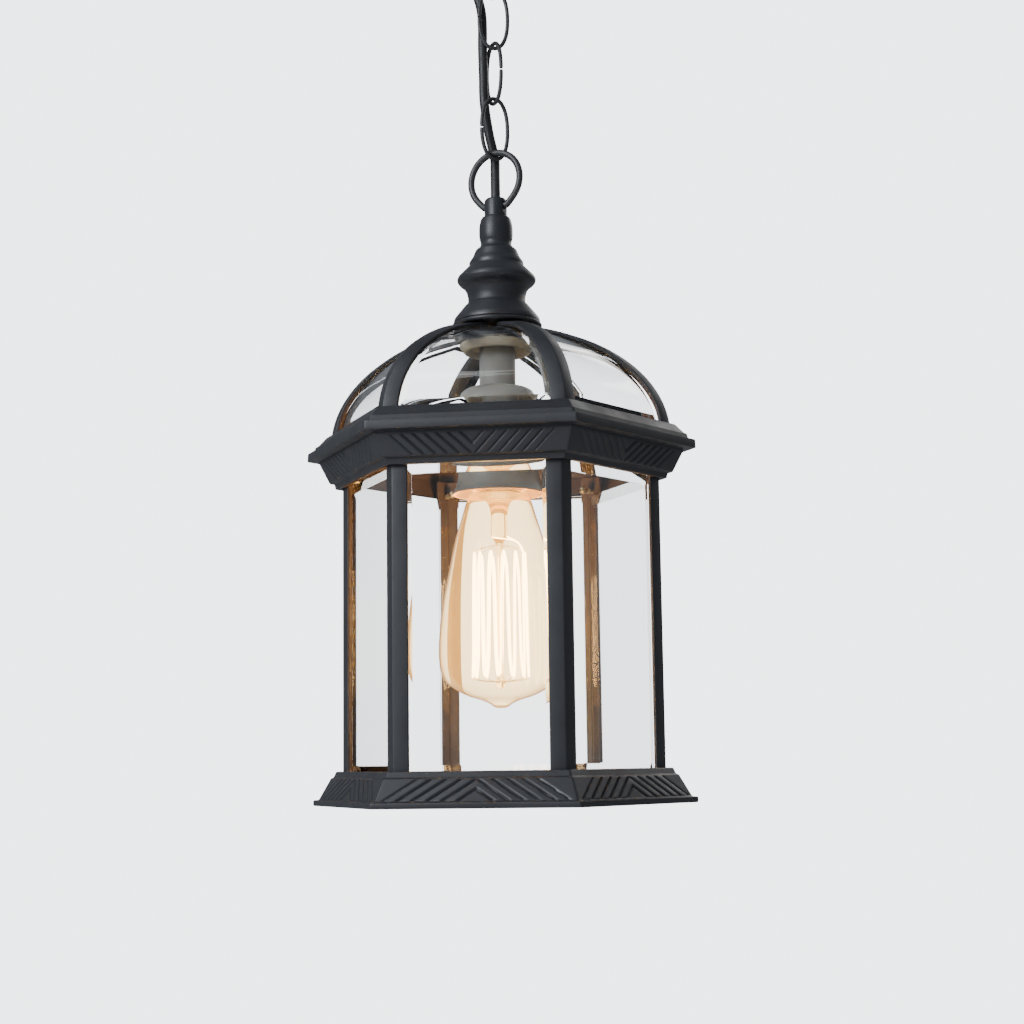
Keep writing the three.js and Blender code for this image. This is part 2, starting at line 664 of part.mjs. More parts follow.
/** The rib line: corner radius and height for an angle up the ellipse. */
function domePoint(angle) {
  return [DOME_RADIUS * Math.cos(angle), DOME_CENTRE + DOME_RISE * Math.sin(angle)];
}

/** How far up the ellipse a height or a radius lies. */
const angleAtHeight = (z) => Math.asin((z - DOME_CENTRE) / DOME_RISE);
const angleAtRadius = (r) => Math.acos(r / DOME_RADIUS);

/** A rib: an angle section along the dome's corner line, over +X. Its legs lie on the two faces. */
function domeRib() {
  const steps = 12;
  const from = angleAtHeight(ROOF_PLATE_TOP + FIT_GAP);
  const to = angleAtRadius(RIB_END_RADIUS);
  const loops = [];
  for (let i = 0; i <= steps; i++) {
    const angle = from + ((to - from) * i) / steps;
    const [r, z] = domePoint(angle);
    const slope = Math.atan2(DOME_RISE * Math.cos(angle), DOME_RADIUS * Math.sin(angle));
    const outward = [Math.sin(slope), Math.cos(slope)];
    const half = Math.min(RIB_LEG * APOTHEM, r * 0.4);
    const fall = half * Math.tan(Math.PI / 6) * outward[0]; // of a leg's edge below the corner line
    const inner = half - RIB_THICKNESS * 0.5 * outward[0];
    const section = [
      [0, 0], [half, fall], [inner, fall + RIB_THICKNESS], [0, RIB_THICKNESS * 1.12],
      [-inner, fall + RIB_THICKNESS], [-half, fall],
    ];
    loops.push(section.map(([y, depth]) => (i === 0
      ? [r - depth, y, z]
      : [r - depth * outward[0], y, z - depth * outward[1]])));
  }
  return layered(loops);
}

/** A dome pane: bent one way only, narrower towards the top, whose outward side is +X. */
function domeGlass() {
  const steps = 10;
  const from = angleAtHeight(ROOF_PLATE_TOP + 1.2);
  const to = angleAtRadius(DOME_GLASS_TOP_RADIUS);
  const loops = [];
  for (let i = 0; i <= steps; i++) {
    const angle = from + ((to - from) * i) / steps;
    const [r, z] = domePoint(angle);
    const slope = Math.atan2(DOME_RISE * Math.cos(angle), DOME_RADIUS * Math.sin(angle) * APOTHEM);
    const outward = [Math.sin(slope), Math.cos(slope)];
    const skin = (depth) => [r * APOTHEM - depth * outward[0], z - depth * outward[1]];
    const near = skin(RIB_THICKNESS + FIT_GAP);
    const far = skin(RIB_THICKNESS + FIT_GAP + DOME_GLASS_THICKNESS);
    const half = Math.max(5, r / 2 - 4.6);
    loops.push([
      [near[0], -half, near[1]], [far[0], -half, far[1]],
      [far[0], half, far[1]], [near[0], half, near[1]],
    ]);
  }
  return layered(loops);
}

// ---------------------------------------------------------------- assembly
piece('ceiling_strap', ceilingStrap(), steel);
[-1, 1].forEach((side, i) => {
  piece(`strap_screw_${i + 1}`, strapScrew(), brass).position.y = side * STRAP_HOLE_OFFSET;
});
piece('canopy', canopy(), black);
const canopyNipple = sleeve(
  NIPPLE_BORE, NIPPLE_RADIUS, COLLAR_BOTTOM + 2.3, CEILING_HEIGHT - FIT_GAP, 18,
);
piece('canopy_nipple', canopyNipple, brass);
const lockNut = hexNut(NUT_WIDTH, THREAD_RADIUS, CANOPY_BOTTOM + 1.6, CANOPY_BOTTOM + 5);
piece('canopy_lock_nut', lockNut, brass);
piece('canopy_loop', canopyLoop(), black);
piece('cord_bushing', cordBushing(), cordSheath);

chainLink('chain_link_upper', UPPER_LINK_HEIGHT, UPPER_LINK_TURN);
chainLink('chain_link_middle', MIDDLE_LINK_HEIGHT, MIDDLE_LINK_TURN);
chainLink('chain_link_lower', LOWER_LINK_HEIGHT, LOWER_LINK_TURN);
const ring = piece('hanging_ring', tube(new RingCurve(), RING_WIRE, 8, 42), black);
ring.position.z = RING_CENTRE;
ring.rotation.z = radians(RING_TURN);
piece('cord', cord(), cordSheath);

piece('finial', finial(), black);
piece('dome_cap', domeCap(), black);
piece('dome_hub', domeHub(), grey);
piece('spacer_tube', sleeve(THREAD_RADIUS, SPACER_RADIUS, CUP_TOP + FIT_GAP, SPACER_TOP), grey);
const socketNipple = sleeve(
  NIPPLE_BORE, NIPPLE_RADIUS, SOCKET_TOP - 10, FINIAL_FOOT + 21, 18,
);
piece('socket_nipple', socketNipple, brass);
aroundFaces('dome_rib', domeRib(), black);
aroundFaces('dome_glass', domeGlass(), clearGlass, FACE_ANGLE / 2);
piece('roof_frame', roofFrame(), black);
aroundFaces('corner_post', cornerPost(), black);
aroundFaces('wall_glass', wallGlass(), clearGlass, FACE_ANGLE / 2);
aroundFaces('corner_screw', cornerScrew(), brass);
piece('base_frame', baseFrame(), black);

piece('socket_cup', socketCup(), grey);
piece('socket_insulator', socketInsulator(), ceramic);
piece('socket_shell', socketShell(), copper);
piece('socket_contact', socketContact(), brass);

piece('bulb_cap', bulbCap(), brass);
piece('bulb_insulator', bulbInsulator(), blackGlass);
piece('bulb_contact', bulbContact(), steel);
piece('bulb_glass', bulbGlass(), clearGlass);
piece('bulb_stem', bulbStem(), clearGlass);
piece('bulb_filament', tube(new FilamentCurve(), FILAMENT_WIRE, 4, 13 * FILAMENT_LOOPS), hotWire);

lantern.position.z = -CEILING_HEIGHT;
export default new THREE.Group().add(lantern);
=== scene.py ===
"""The looks of a six-sided hanging lantern with a chain, a ring and a screw-in filament bulb.

Lengths are in millimetres, and heights are above the underside of the lantern's base, until a mesh
is made: there they become metres in the part's own frame, whose origin is on the ceiling.
"""
import math

import bmesh
import bpy
import numpy as np
from mathutils import Matrix, Vector


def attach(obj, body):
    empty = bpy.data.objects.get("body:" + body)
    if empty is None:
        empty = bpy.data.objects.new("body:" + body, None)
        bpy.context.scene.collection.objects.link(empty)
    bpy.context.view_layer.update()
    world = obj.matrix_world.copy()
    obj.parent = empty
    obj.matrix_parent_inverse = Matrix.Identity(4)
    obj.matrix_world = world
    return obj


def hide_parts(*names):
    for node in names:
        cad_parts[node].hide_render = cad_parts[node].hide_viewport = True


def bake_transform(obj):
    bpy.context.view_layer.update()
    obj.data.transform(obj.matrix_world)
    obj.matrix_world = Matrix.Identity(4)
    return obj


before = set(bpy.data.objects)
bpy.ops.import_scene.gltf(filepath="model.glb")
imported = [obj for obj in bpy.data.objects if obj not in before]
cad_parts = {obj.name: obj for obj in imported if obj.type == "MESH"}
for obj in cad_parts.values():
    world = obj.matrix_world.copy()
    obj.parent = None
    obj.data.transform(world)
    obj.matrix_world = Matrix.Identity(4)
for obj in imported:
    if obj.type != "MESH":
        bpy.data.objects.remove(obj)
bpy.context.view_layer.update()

# ------------------------------------------------------------------ driving dimensions
CEILING = 481.0  # the ceiling plane above the underside of the base
GAP = 0.3  # between pieces that touch
FACES = 6
APOTHEM = math.cos(math.pi / 6)

BASE_PROFILE = [
    (100, 0), (100, 2.9), (97, 3.1), (90.4, 14.2), (89.2, 14.4), (87.7, 17.5), (84.4, 17.5),
    (84.4, 14), (72, 14), (72, 12), (87.2, 12), (93.4, 1.8), (96.5, 0),
]
ROOF_PROFILE = [
    (88, 165.7), (88.6, 168.4), (91.2, 168.9), (96.9, 179.8), (96.9, 181), (103.4, 181),
    (103.2, 185.6), (99.8, 185.8), (99, 188.8), (97.8, 189), (92.8, 194), (91.1, 194),
    (91.1, 191.5), (81, 191.5), (81, 189.2), (92.6, 189.2), (93.4, 180.4), (87.7, 169.4),
    (84.5, 168.6), (84.5, 165.7),
]
FRIEZE_ROW = 2  # in both profiles the frieze runs from this point to the next
FACE_STEPS, FRIEZE_STEPS = 150, 26

POST_RADIUS, POST_LEG, POST_THICKNESS = 84, 8, 2
POST_BOTTOM, POST_TOP = 14.3, 178
PANE_THICKNESS, PANE_EDGE, PANE_BEVEL = 3.4, 0.6, 6
PANE_HALF_WIDTH, PANE_BOTTOM, PANE_TOP = 38.2, 14.3, 167.5
SCREW_HEIGHT, SCREW_BALL, SCREW_BALL_RADIUS = 170, 2.1, 72

DOME_CENTRE, DOME_RADIUS, DOME_RISE = 189, 90.5, 61
RIB_LEG, RIB_THICKNESS, RIB_FOOT, RIB_END_RADIUS = 7.6, 2, 191.8, 15
RIB_FLARE = 4.0
DOME_BEVEL = 5.5
DOME_GLASS_FOOT, DOME_GLASS_END_RADIUS, DOME_GLASS_THICKNESS = 192.7, 27.5, 3.5

FINIAL_FOOT, NECK_RADIUS, NECK_TOP, NECK_BORE = 252, 6, 320, 3
NIPPLE_BORE, NIPPLE_RADIUS, THREAD_RADIUS = 3.3, 4.85, 5.15

HUB_TOP, HUB_BOTTOM, HUB_SEAT, SPACER_RADIUS = 242.6, 237, 240.9, 9.5
CUP_TOP, CUP_RADIUS, CUP_RIM, CUP_WALL = 217.5, 20.9, 160, 1.2
SOCKET_TOP, SOCKET_BOTTOM, SOCKET_CHAMBER, SOCKET_RADIUS = 214, 164, 192, 18.6
SHELL_RADIUS, SHELL_BOTTOM, SHELL_TOP = 14, 164.5, 191.7

CAP_BOTTOM, CAP_TOP, CAP_CREST, CAP_SKIN, THREAD_PITCH = 161.5, 184, 13.1, 12.2, 3.629
BULB_RIM, BULB_WALL = 161.2, 0.8
FILAMENT_LOOPS, FILAMENT_WIRE, FILAMENT_RADIUS = 12, 0.55, 14
FILAMENT_CENTRE, FILAMENT_REACH, FILAMENT_TURN = 97, 32, 2 * math.pi * 0.96

LINK_LENGTH, LINK_WIDTH, LINK_WIRE, LINK_SEAM = 35.8, 18, 1.1, 0.5
LINK_SQUARENESS = 0.88
LINKS = [  # piece, its body, the height of its middle, its turn about the vertical, its seam's side
    ("chain_link_upper", "link_upper", 421.35, 22.8, -1),
    ("chain_link_middle", "link_middle", 390.25, -52.2, 1),
    ("chain_link_lower", "link_lower", 359.15, 37.8, -1),
]
RING_HEIGHT, RING_RADIUS, RING_WIRE, RING_TURN, RING_PIVOT = 330.6, 14.95, 1.8, -21.2, 316
LOOP_HEIGHT, LOOP_RADIUS, LOOP_WIRE, LOOP_TURN = 443.75, 9, 2, -67.2
COLLAR_BOTTOM, CANOPY_BOTTOM, CANOPY_RADIUS, CANOPY_FLAT, CANOPY_WALL = 449.45, 456.45, 58, 22, 1.2
STRAP_HALF_WIDTH, STRAP_HALF_LENGTH, STRAP_THICKNESS, STRAP_HOLE_OFFSET = 8.7, 49.7, 2.2, 34

CAMERA_PLACE, CAMERA_LENS = (0.1458, -0.9409, -0.4595), 64.56  # in metres, in millimetres
CAMERA_TURN, CAMERA_TILT, CAMERA_ROLL = 8.41, 7.74, -0.75  # degrees

CORD_DIAMETER = 5.1
CORD_HOLE = (-13.9, 4.1)
CORD_ROUTE = [
    (-13.9, 4.1, 480), (-13.9, 4.1, 468), (-13.9, 4.1, 458), (-13.8, 4.1, 450),
    (-12.5, 3.7, 444), (-10.1, 3.0, 438), (-7.8, 2.3, 431), (-6.6, 1.9, 424),
    (-6.3, 1.7, 416), (-6.4, 1.6, 406), (-6.0, 1.1, 390), (-5.7, 0.8, 375),
    (-3.7, 3.7, 358), (-1.0, 5.4, 344), (-0.6, 3.6, 336), (-0.2, 1.2, 328.5),
    (0, 0.1, 322), (0, 0, 316), (0, 0, 290), (0, 0, 250), (0, 0, 222),
]
CORD_STRETCHES = [  # top and bottom, the two bodies it joins, where it starts and stops to bend
    (480, 421.35, "canopy", "link_upper", 446, 424),
    (421.35, 390.25, "link_upper", "link_middle", 417, 393),
    (390.25, 359.15, "link_middle", "link_lower", 386, 362),
    (359.15, 327, "link_lower", "ring", 355, 330),
    (327, 222, "ring", "lantern", 327, 318),
]


# ------------------------------------------------------------------ making meshes
def to_frame(points):
    """Millimetres and heights above the base to metres below the ceiling."""
    placed = np.array(points, float).reshape(-1, 3)
    placed[:, 2] -= CEILING
    return placed * 0.001


def joined(*parts):
    """Several (points, faces) as one."""
    points, faces, start = [], [], 0
    for some, corners in parts:
        some = np.array(some, float).reshape(-1, 3)
        points.append(some)
        faces += [tuple(i + start for i in face) for face in corners]
        start += len(some)
    return np.concatenate(points), faces


def turned_about(part, degrees, shift=(0, 0, 0)):
    """A (points, faces) turned about the vertical and then shifted."""
    a = math.radians(degrees)
    c, s = math.cos(a), math.sin(a)
    points = np.array(part[0], float) @ np.array([[c, s, 0], [-s, c, 0], [0, 0, 1]])
    return points + np.array(shift, float), part[1]


def laid_along_x(part):
    """A (points, faces) whose vertical axis is laid along +X."""
    points = np.array(part[0], float)
    return np.stack([points[:, 2], points[:, 1], -points[:, 0]], 1), part[1]


def new_object(name, data):
    item = bpy.data.objects.new(name, data)
    bpy.context.scene.collection.objects.link(item)
    return item


def evaluated_mesh(item):
    """A new mesh of an object with its modifiers, or of a curve."""
    bpy.context.view_layer.update()
    return bpy.data.meshes.new_from_object(
        item.evaluated_get(bpy.context.evaluated_depsgraph_get()))


def place_piece(name, mesh, body, node, slot, look=None):
    """An object that rides on its body. Its material is its slot's, unless look names another."""
    mesh.materials.append(MATERIALS[look or slot])
    piece = new_object(name, mesh)
    if body:
        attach(piece, body)
    if node:
        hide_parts(node)
    return piece


def make_piece(name, part, body, node=None, slot=None, sharp=32, look=None):
    """One object from a (points, faces): welded, facing out, smooth but for its sharp edges."""
    mesh = bpy.data.meshes.new(name)
    mesh.from_pydata(to_frame(part[0]).tolist(), [], part[1])
    bm = bmesh.new()
    bm.from_mesh(mesh)
    bmesh.ops.remove_doubles(bm, verts=bm.verts, dist=2e-6)
    bmesh.ops.recalc_face_normals(bm, faces=bm.faces)
    bm.to_mesh(mesh)
    bm.free()
    mesh.polygons.foreach_set("use_smooth", [True] * len(mesh.polygons))
    mesh.set_sharp_from_angle(angle=math.radians(sharp))
    return place_piece(name, mesh, body, node, slot, look)


def make_pieces(body, *rows):
    """The pieces of one body: each row is what make_piece takes, without the body."""
    for name, part, *rest in rows:
        make_piece(name, part, body, *rest)


def grid(rows, columns, ring_rows=False):
    """The faces of a grid of points that closes on itself across its columns, or both ways."""
    faces = []
    for i in range(rows if ring_rows else rows - 1):
        here, above = i * columns, (i + 1) % rows * columns
        for j in range(columns):
            k = (j + 1) % columns
            faces.append((here + j, here + k, above + k, above + j))
    return faces


def bend(t, start, corner, end):
    """A point of the curve that leaves start towards corner and comes to end from there."""
    return (1 - t) ** 2 * start + 2 * t * (1 - t) * corner + t * t * end


def rounded(outline, radius, steps=3, closed=True):
    """The outline with each corner replaced by a short curve."""
    points = [np.array(p, float) for p in outline]
    result = []
    for i, corner in enumerate(points):
        if not closed and i in (0, len(points) - 1):
            result.append(corner)
            continue
        before, after = points[i - 1] - corner, points[(i + 1) % len(points)] - corner
        reach = min(radius, 0.42 * np.linalg.norm(before), 0.42 * np.linalg.norm(after))
        start = corner + before / np.linalg.norm(before) * reach
        end = corner + after / np.linalg.norm(after) * reach
        for k in range(steps + 1):
            result.append(bend(k / steps, start, corner, end))
    return [tuple(p) for p in result]


def curve_through(points, spacing):
    """Points at most so far apart on a centripetal Catmull-Rom curve through the given ones."""
    p = [np.array(q, float) for q in points]
    p = [2 * p[0] - p[1]] + p + [2 * p[-1] - p[-2]]
    result = []
    for i in range(1, len(p) - 2):
        a, b, c, d = p[i - 1:i + 3]
        ta = 0.0
        tb = ta + np.linalg.norm(b - a) ** 0.5
        tc = tb + np.linalg.norm(c - b) ** 0.5
        td = tc + np.linalg.norm(d - c) ** 0.5
        count = max(1, math.ceil(np.linalg.norm(c - b) / spacing))
        for k in range(count):
            t = tb + (tc - tb) * k / count
            ab = (tb - t) / (tb - ta) * a + (t - ta) / (tb - ta) * b
            bc = (tc - t) / (tc - tb) * b + (t - tb) / (tc - tb) * c
            cd = (td - t) / (td - tc) * c + (t - tc) / (td - tc) * d
            abc = (tc - t) / (tc - ta) * ab + (t - ta) / (tc - ta) * bc
            bcd = (td - t) / (td - tb) * bc + (t - tb) / (td - tb) * cd
            result.append((tc - t) / (tc - tb) * abc + (t - tb) / (tc - tb) * bcd)
    result.append(p[-2])
    return [tuple(q) for q in result]


def lathe(profile, segments, radius_at=None):
    """Turns a profile of (radius, height) about the vertical. A profile on the axis at both ends
    closes there, and any other closes on itself. radius_at(r, h, angle) may change the radius."""
    on_axis = profile[0][0] == 0 and profile[-1][0] == 0
    points = []
    for r, h in profile:
        for k in range(segments):
            a = 2 * math.pi * k / segments
            rr = radius_at(r, h, a) if radius_at else r
            points.append((rr * math.cos(a), rr * math.sin(a), h))
    faces = grid(len(profile), segments, ring_rows=not on_axis)
    return np.array(points), faces


def tube(path, radius, sides, closed=False):
    """A round tube along a path of points, with rings that don't twist."""
    path = [Vector(p) for p in path]
    count = len(path)
    tangents = []
    for i in range(count):
        before = path[i - 1] if closed or i else path[i]
        after = path[(i + 1) % count] if closed or i < count - 1 else path[i]
        tangents.append((after - before).normalized())
    side = tangents[0].orthogonal().normalized()
    points = []
    for i, at in enumerate(path):
        side = (side - tangents[i] * side.dot(tangents[i])).normalized()
        up = tangents[i].cross(side)
        r = radius(i / (count - 1)) if callable(radius) else radius
        for k in range(sides):
            a = 2 * math.pi * k / sides
            points.append(at + side * (r * math.cos(a)) + up * (r * math.sin(a)))
    faces = grid(count, sides, ring_rows=closed)
    if not closed:
        faces.append(tuple(range(sides)))
        faces.append(tuple(range((count - 1) * sides, count * sides)))
    return np.array([tuple(p) for p in points]), faces


def layered(loops):
    """A closed body through equal loops of points, with a flat cap at both ends."""
    size = len(loops[0])
    faces = grid(len(loops), size)
    faces.append(tuple(range(size)))
    faces.append(tuple(range((len(loops) - 1) * size, len(loops) * size)))
    return np.array([p for loop in loops for p in loop], float), faces


# ------------------------------------------------------------------ camera, cord
def make_camera():
    """Level with the base, a little to the right, looking slightly up."""
    data = bpy.data.cameras.new("camera")
    data.lens, data.sensor_width = CAMERA_LENS, 36
    data.clip_start, data.clip_end = 0.02, 60
    camera = new_object("camera", data)
    turn = Matrix.Rotation(math.radians(CAMERA_TURN), 4, "Z")
    tilt = Matrix.Rotation(math.radians(90 + CAMERA_TILT), 4, "X")
    roll = Matrix.Rotation(math.radians(CAMERA_ROLL), 4, "Z")
    camera.matrix_world = Matrix.Translation(CAMERA_PLACE) @ turn @ tilt @ roll
    bpy.context.scene.camera = camera


def cord_line(top, bottom):
    """The cord's centreline between two heights, in even short steps."""
    line = np.array(curve_through(CORD_ROUTE, 0.5))
    heights = line[:, 2]
    count = max(12, round((top - bottom) / 1.6))
    at = np.linspace(top, bottom, count + 1)
    return [(np.interp(-h, -heights, line[:, 0]), np.interp(-h, -heights, line[:, 1]), h)
            for h in at]


def make_cord():
    """The lamp cord, in one stretch for each joint that it bends across."""
    for i, (top, bottom, above, below, start, end) in enumerate(CORD_STRETCHES):
        path = cord_line(top, bottom)
        rows = to_frame(path)
        skin = tube(path, CORD_DIAMETER / 2, 20)
        piece = make_piece(f"cord_{i + 1}", skin, None, "cord", "cord_sheath")
        to_frame((0, 0, start))[0]
        to_frame((0, 0, end))[0]
        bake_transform(piece)


# ------------------------------------------------------------------ materials
class Nodes:
    """A short way to write the nodes of a new material or world."""

    def __init__(self, name, owners=bpy.data.materials, output="Material Output"):
        self.owner = owners.new(name)
        self.owner.use_nodes = True
        self.tree = self.owner.node_tree
        self.output = self.tree.nodes[output]

    def put(self, socket, value):
        """Links another node's socket to this one, or sets its value. Colours are opaque."""
        if isinstance(value, bpy.types.NodeSocket):
            self.tree.links.new(value, socket)
        else:
            socket.default_value = (*value, 1) if socket.type == "RGBA" else value

    def fill(self, node, inputs):
        for name, value in inputs.items():
            self.put(node.inputs[name.replace("_", " ")], value)

    def add(self, kind, settings=None, **inputs):
        node = self.tree.nodes.new(kind)
        for name, value in (settings or {}).items():
            setattr(node, name, value)
        self.fill(node, inputs)
        return node

    def set(self, **inputs):
        self.fill(self.tree.nodes["Principled BSDF"], inputs)

    def noise(self, scale, detail=3.0, rough=0.5, stretch=None):
        place = self.add("ShaderNodeTexCoord").outputs["Object"]
        if stretch:
            place = self.add("ShaderNodeMapping", Vector=place, Scale=stretch).outputs["Vector"]
        return self.add("ShaderNodeTexNoise", Vector=place, Scale=scale, Detail=detail,
                        Roughness=rough).outputs["Fac"]

    def ramp(self, value, stops):
        node = self.add("ShaderNodeValToRGB", Fac=value)
        while len(node.color_ramp.elements) < len(stops):
            node.color_ramp.elements.new(0.5)
        for element, (at, colour) in zip(node.color_ramp.elements, stops):
            element.position = at
            element.color = (*colour, 1)
        return node.outputs["Color"]

    def spread(self, value, low, high, source=(0.3, 0.7)):
        return self.add("ShaderNodeMapRange", Value=value, From_Min=source[0], From_Max=source[1],
                        To_Min=low, To_Max=high).outputs["Result"]

    def mix(self, factor, a, b):
        return self.add("ShaderNodeMix", {"data_type": "RGBA"}, Factor=factor, A=a,
                        B=b).outputs["Result"]

    def maths(self, operation, *values):
        node = self.add("ShaderNodeMath", {"operation": operation})
        for socket, value in zip(node.inputs, values):
            self.put(socket, value)
        return node.outputs["Value"]

    def bump(self, height, strength, distance, **under):
        return self.add("ShaderNodeBump", Height=height, Strength=strength, Distance=distance,
                        **under).outputs["Normal"]

    def choose(self, factor, first, second):
        """The surface: the first shader where the factor is 0, the second where it is 1."""
        mixer = self.add("ShaderNodeMixShader", Fac=factor)
        self.put(mixer.inputs[1], first)
        self.put(mixer.inputs[2], second)
        self.put(self.output.inputs["Surface"], mixer.outputs["Shader"])

    def seen_or_felt(self, seen, felt):
        """The surface: seen by the camera alone or through glass, and felt by everything else."""
        path = self.add("ShaderNodeLightPath").outputs
        bounces = self.maths("ADD", path["Diffuse Depth"], path["Glossy Depth"])
        first = self.maths("LESS_THAN", bounces, 0.5)
        through = self.maths("MULTIPLY", path["Is Transmission Ray"], first)
        self.choose(self.maths("MAXIMUM", path["Is Camera Ray"], through), felt, seen)


def paint(name, dark, light, worn, rough=(0.36, 0.52), grain=0.25, edge=0.35):
    """Satin powder coat: a fine orange-peel skin, cloudy gloss, faint dust and paler worn edges."""
    n = Nodes(name)
    cloud = n.noise(28, 4, 0.6)
    speck = n.noise(900, 2)
    peel = n.noise(1500, 2, 0.4)
    scuff = n.noise(160, 5, 0.65)
    body = n.ramp(cloud, [(0.3, dark), (0.72, light)])
    sharpness = n.add("ShaderNodeNewGeometry").outputs["Pointiness"]
    edges = n.ramp(sharpness, [(0.53, (0, 0, 0)), (0.6, (1, 1, 1))])
    rubbed = n.maths("MULTIPLY", edges, n.ramp(scuff, [(0.42, (0, 0, 0)), (0.66, (1, 1, 1))]))
    n.set(Base_Color=n.mix(n.maths("MULTIPLY", rubbed, edge), body, worn))
    gloss = n.maths("MULTIPLY", n.noise(60, 4), n.spread(speck, 0.9, 1.1))
    n.set(Roughness=n.spread(gloss, *rough))
    n.set(Normal=n.bump(peel, grain, 0.00012, Normal=n.bump(n.noise(220, 3), 0.12, 0.0002)))
    n.set(IOR=1.5)
    return n.owner


def bare_metal(name, low, high, rough=(0.2, 0.42), stretch=(1, 1, 14)):
    """Metal with drawn or turned marks and some tarnish."""
    n = Nodes(name)
    tarnish = n.noise(90, 5, 0.65)
    marks = n.noise(700, 3, 0.6, stretch)
    n.set(Base_Color=n.ramp(tarnish, [(0.32, low), (0.66, high)]), Metallic=1.0)
    n.set(Roughness=n.spread(n.noise(130, 4, 0.6), *rough))
    n.set(Normal=n.bump(marks, 0.2, 0.00005))
    return n.owner


def clear_glass(name, tint, waviness, index, glow=0.0):
    """Clear glass that lets light through to what it encloses, a little uneven, with faint dust,
    and a warm glow where it is a bulb's."""
    n = Nodes(name)
    n.set(Base_Color=tint, Transmission_Weight=1.0, IOR=index)
    n.set(Emission_Color=(1.0, 0.47, 0.1), Emission_Strength=glow)
    n.set(Roughness=n.spread(n.noise(45, 4), 0.0, 0.03, (0.55, 0.95)))
    n.set(Normal=n.bump(n.noise(16, 2), waviness, 0.0006))
    clear = n.add("ShaderNodeBsdfTransparent", Color=tint).outputs["BSDF"]
    shadow = n.add("ShaderNodeLightPath").outputs["Is Shadow Ray"]
    n.choose(shadow, n.tree.nodes["Principled BSDF"].outputs["BSDF"], clear)
    return n.owner


def cord_skin(name):
    """Smooth dark sheath with a faint lengthwise drag and handling marks."""
    n = Nodes(name)
    body = n.ramp(n.noise(120, 4, 0.6), [(0.3, (0.016, 0.016, 0.018)), (0.7, (0.03, 0.03, 0.032))])
    n.set(Base_Color=body, Roughness=n.spread(n.noise(200, 4), 0.38, 0.58))
    n.set(Normal=n.bump(n.noise(900, 2, 0.5, (1, 1, 0.15)), 0.18, 0.0001))
    return n.owner


def glazed(name, low, high):
    """Glazed porcelain or black glass: glossy, with specks and pooled glaze."""
    n = Nodes(name)
    n.set(Base_Color=n.ramp(n.noise(240, 5, 0.6), [(0.35, low), (0.62, high)]))
    n.set(Roughness=n.spread(n.noise(90, 3), 0.08, 0.25), Coat_Weight=0.4, Coat_Roughness=0.05)
    n.set(Normal=n.bump(n.noise(110, 2), 0.12, 0.0003))
    return n.owner


def glowing(name):
    """Hot filament wire, unevenly bright."""
    n = Nodes(name)
    heat = n.spread(n.noise(60, 2), 130.0, 180.0)
    n.set(Base_Color=(0.9, 0.6, 0.35), Roughness=0.5)
    n.set(Emission_Color=(1.0, 0.7, 0.38), Emission_Strength=heat)
    return n.owner


def make_materials():
    """Every look, under the name of its slot; the hub's look, with a painted warm reflection, and
    chain_paint are variants of a slot's.
    """
    return {
        "black_paint": paint("satin_black", (0.019, 0.020, 0.0235), (0.028, 0.030, 0.035),
                             (0.13, 0.13, 0.135)),
        # grey paint of the socket cup and spacer, partly its own grey and partly painted light: made
        # lighter to stand in for the bulb's glare
        "grey_paint": paint("grey_with_painted_glare", (0.21, 0.21, 0.198), (0.28, 0.28, 0.264),
                            (0.36, 0.35, 0.33), (0.3, 0.44)),
        # the hub's grey paint, tinted olive-beige and lightened: a painted reflection of the warm
        # lit interior
        "hub_paint": paint("grey_with_painted_warm_reflection", (0.32, 0.295, 0.21), (0.44, 0.41, 0.31),
                           (0.45, 0.43, 0.36), (0.22, 0.4)),
        "chain_paint": paint("chain_black", (0.026, 0.027, 0.028), (0.045, 0.046, 0.048),
                             (0.2, 0.19, 0.18), (0.34, 0.5), 0.3, 0.6),
        "pane_glass": clear_glass("pane_clear", (0.985, 0.992, 0.985), 0.04, 1.52),
        "bulb_glass": clear_glass("bulb_clear", (1.0, 0.9, 0.66), 0.1, 1.3, 0.34),
        "fitting_brass": bare_metal("brass_plain", (0.62, 0.47, 0.24), (0.88, 0.72, 0.44)),
        "cap_brass": bare_metal("brass_rolled", (0.58, 0.42, 0.2), (0.84, 0.66, 0.38), (0.16, 0.34)),
        "shell_copper": bare_metal("copper_plain", (0.5, 0.24, 0.12), (0.8, 0.46, 0.28)),
        "zinc_steel": bare_metal("zinc_plate", (0.42, 0.42, 0.42), (0.68, 0.69, 0.7), (0.3, 0.5),
                                 (1, 6, 1)),
        "cord_sheath": cord_skin("cord_pvc"),
        "ceramic": glazed("porcelain", (0.66, 0.61, 0.52), (0.8, 0.76, 0.68)),
        "cap_insulator": glazed("black_glass", (0.008, 0.008, 0.01), (0.02, 0.02, 0.024)),
        "filament": glowing("hot_wire"),
    }


# ------------------------------------------------------------------ frames with their friezes
def soft_step(value, low, high):
    t = np.clip((value - low) / (high - low), 0, 1)
    return t * t * (3 - 2 * t)


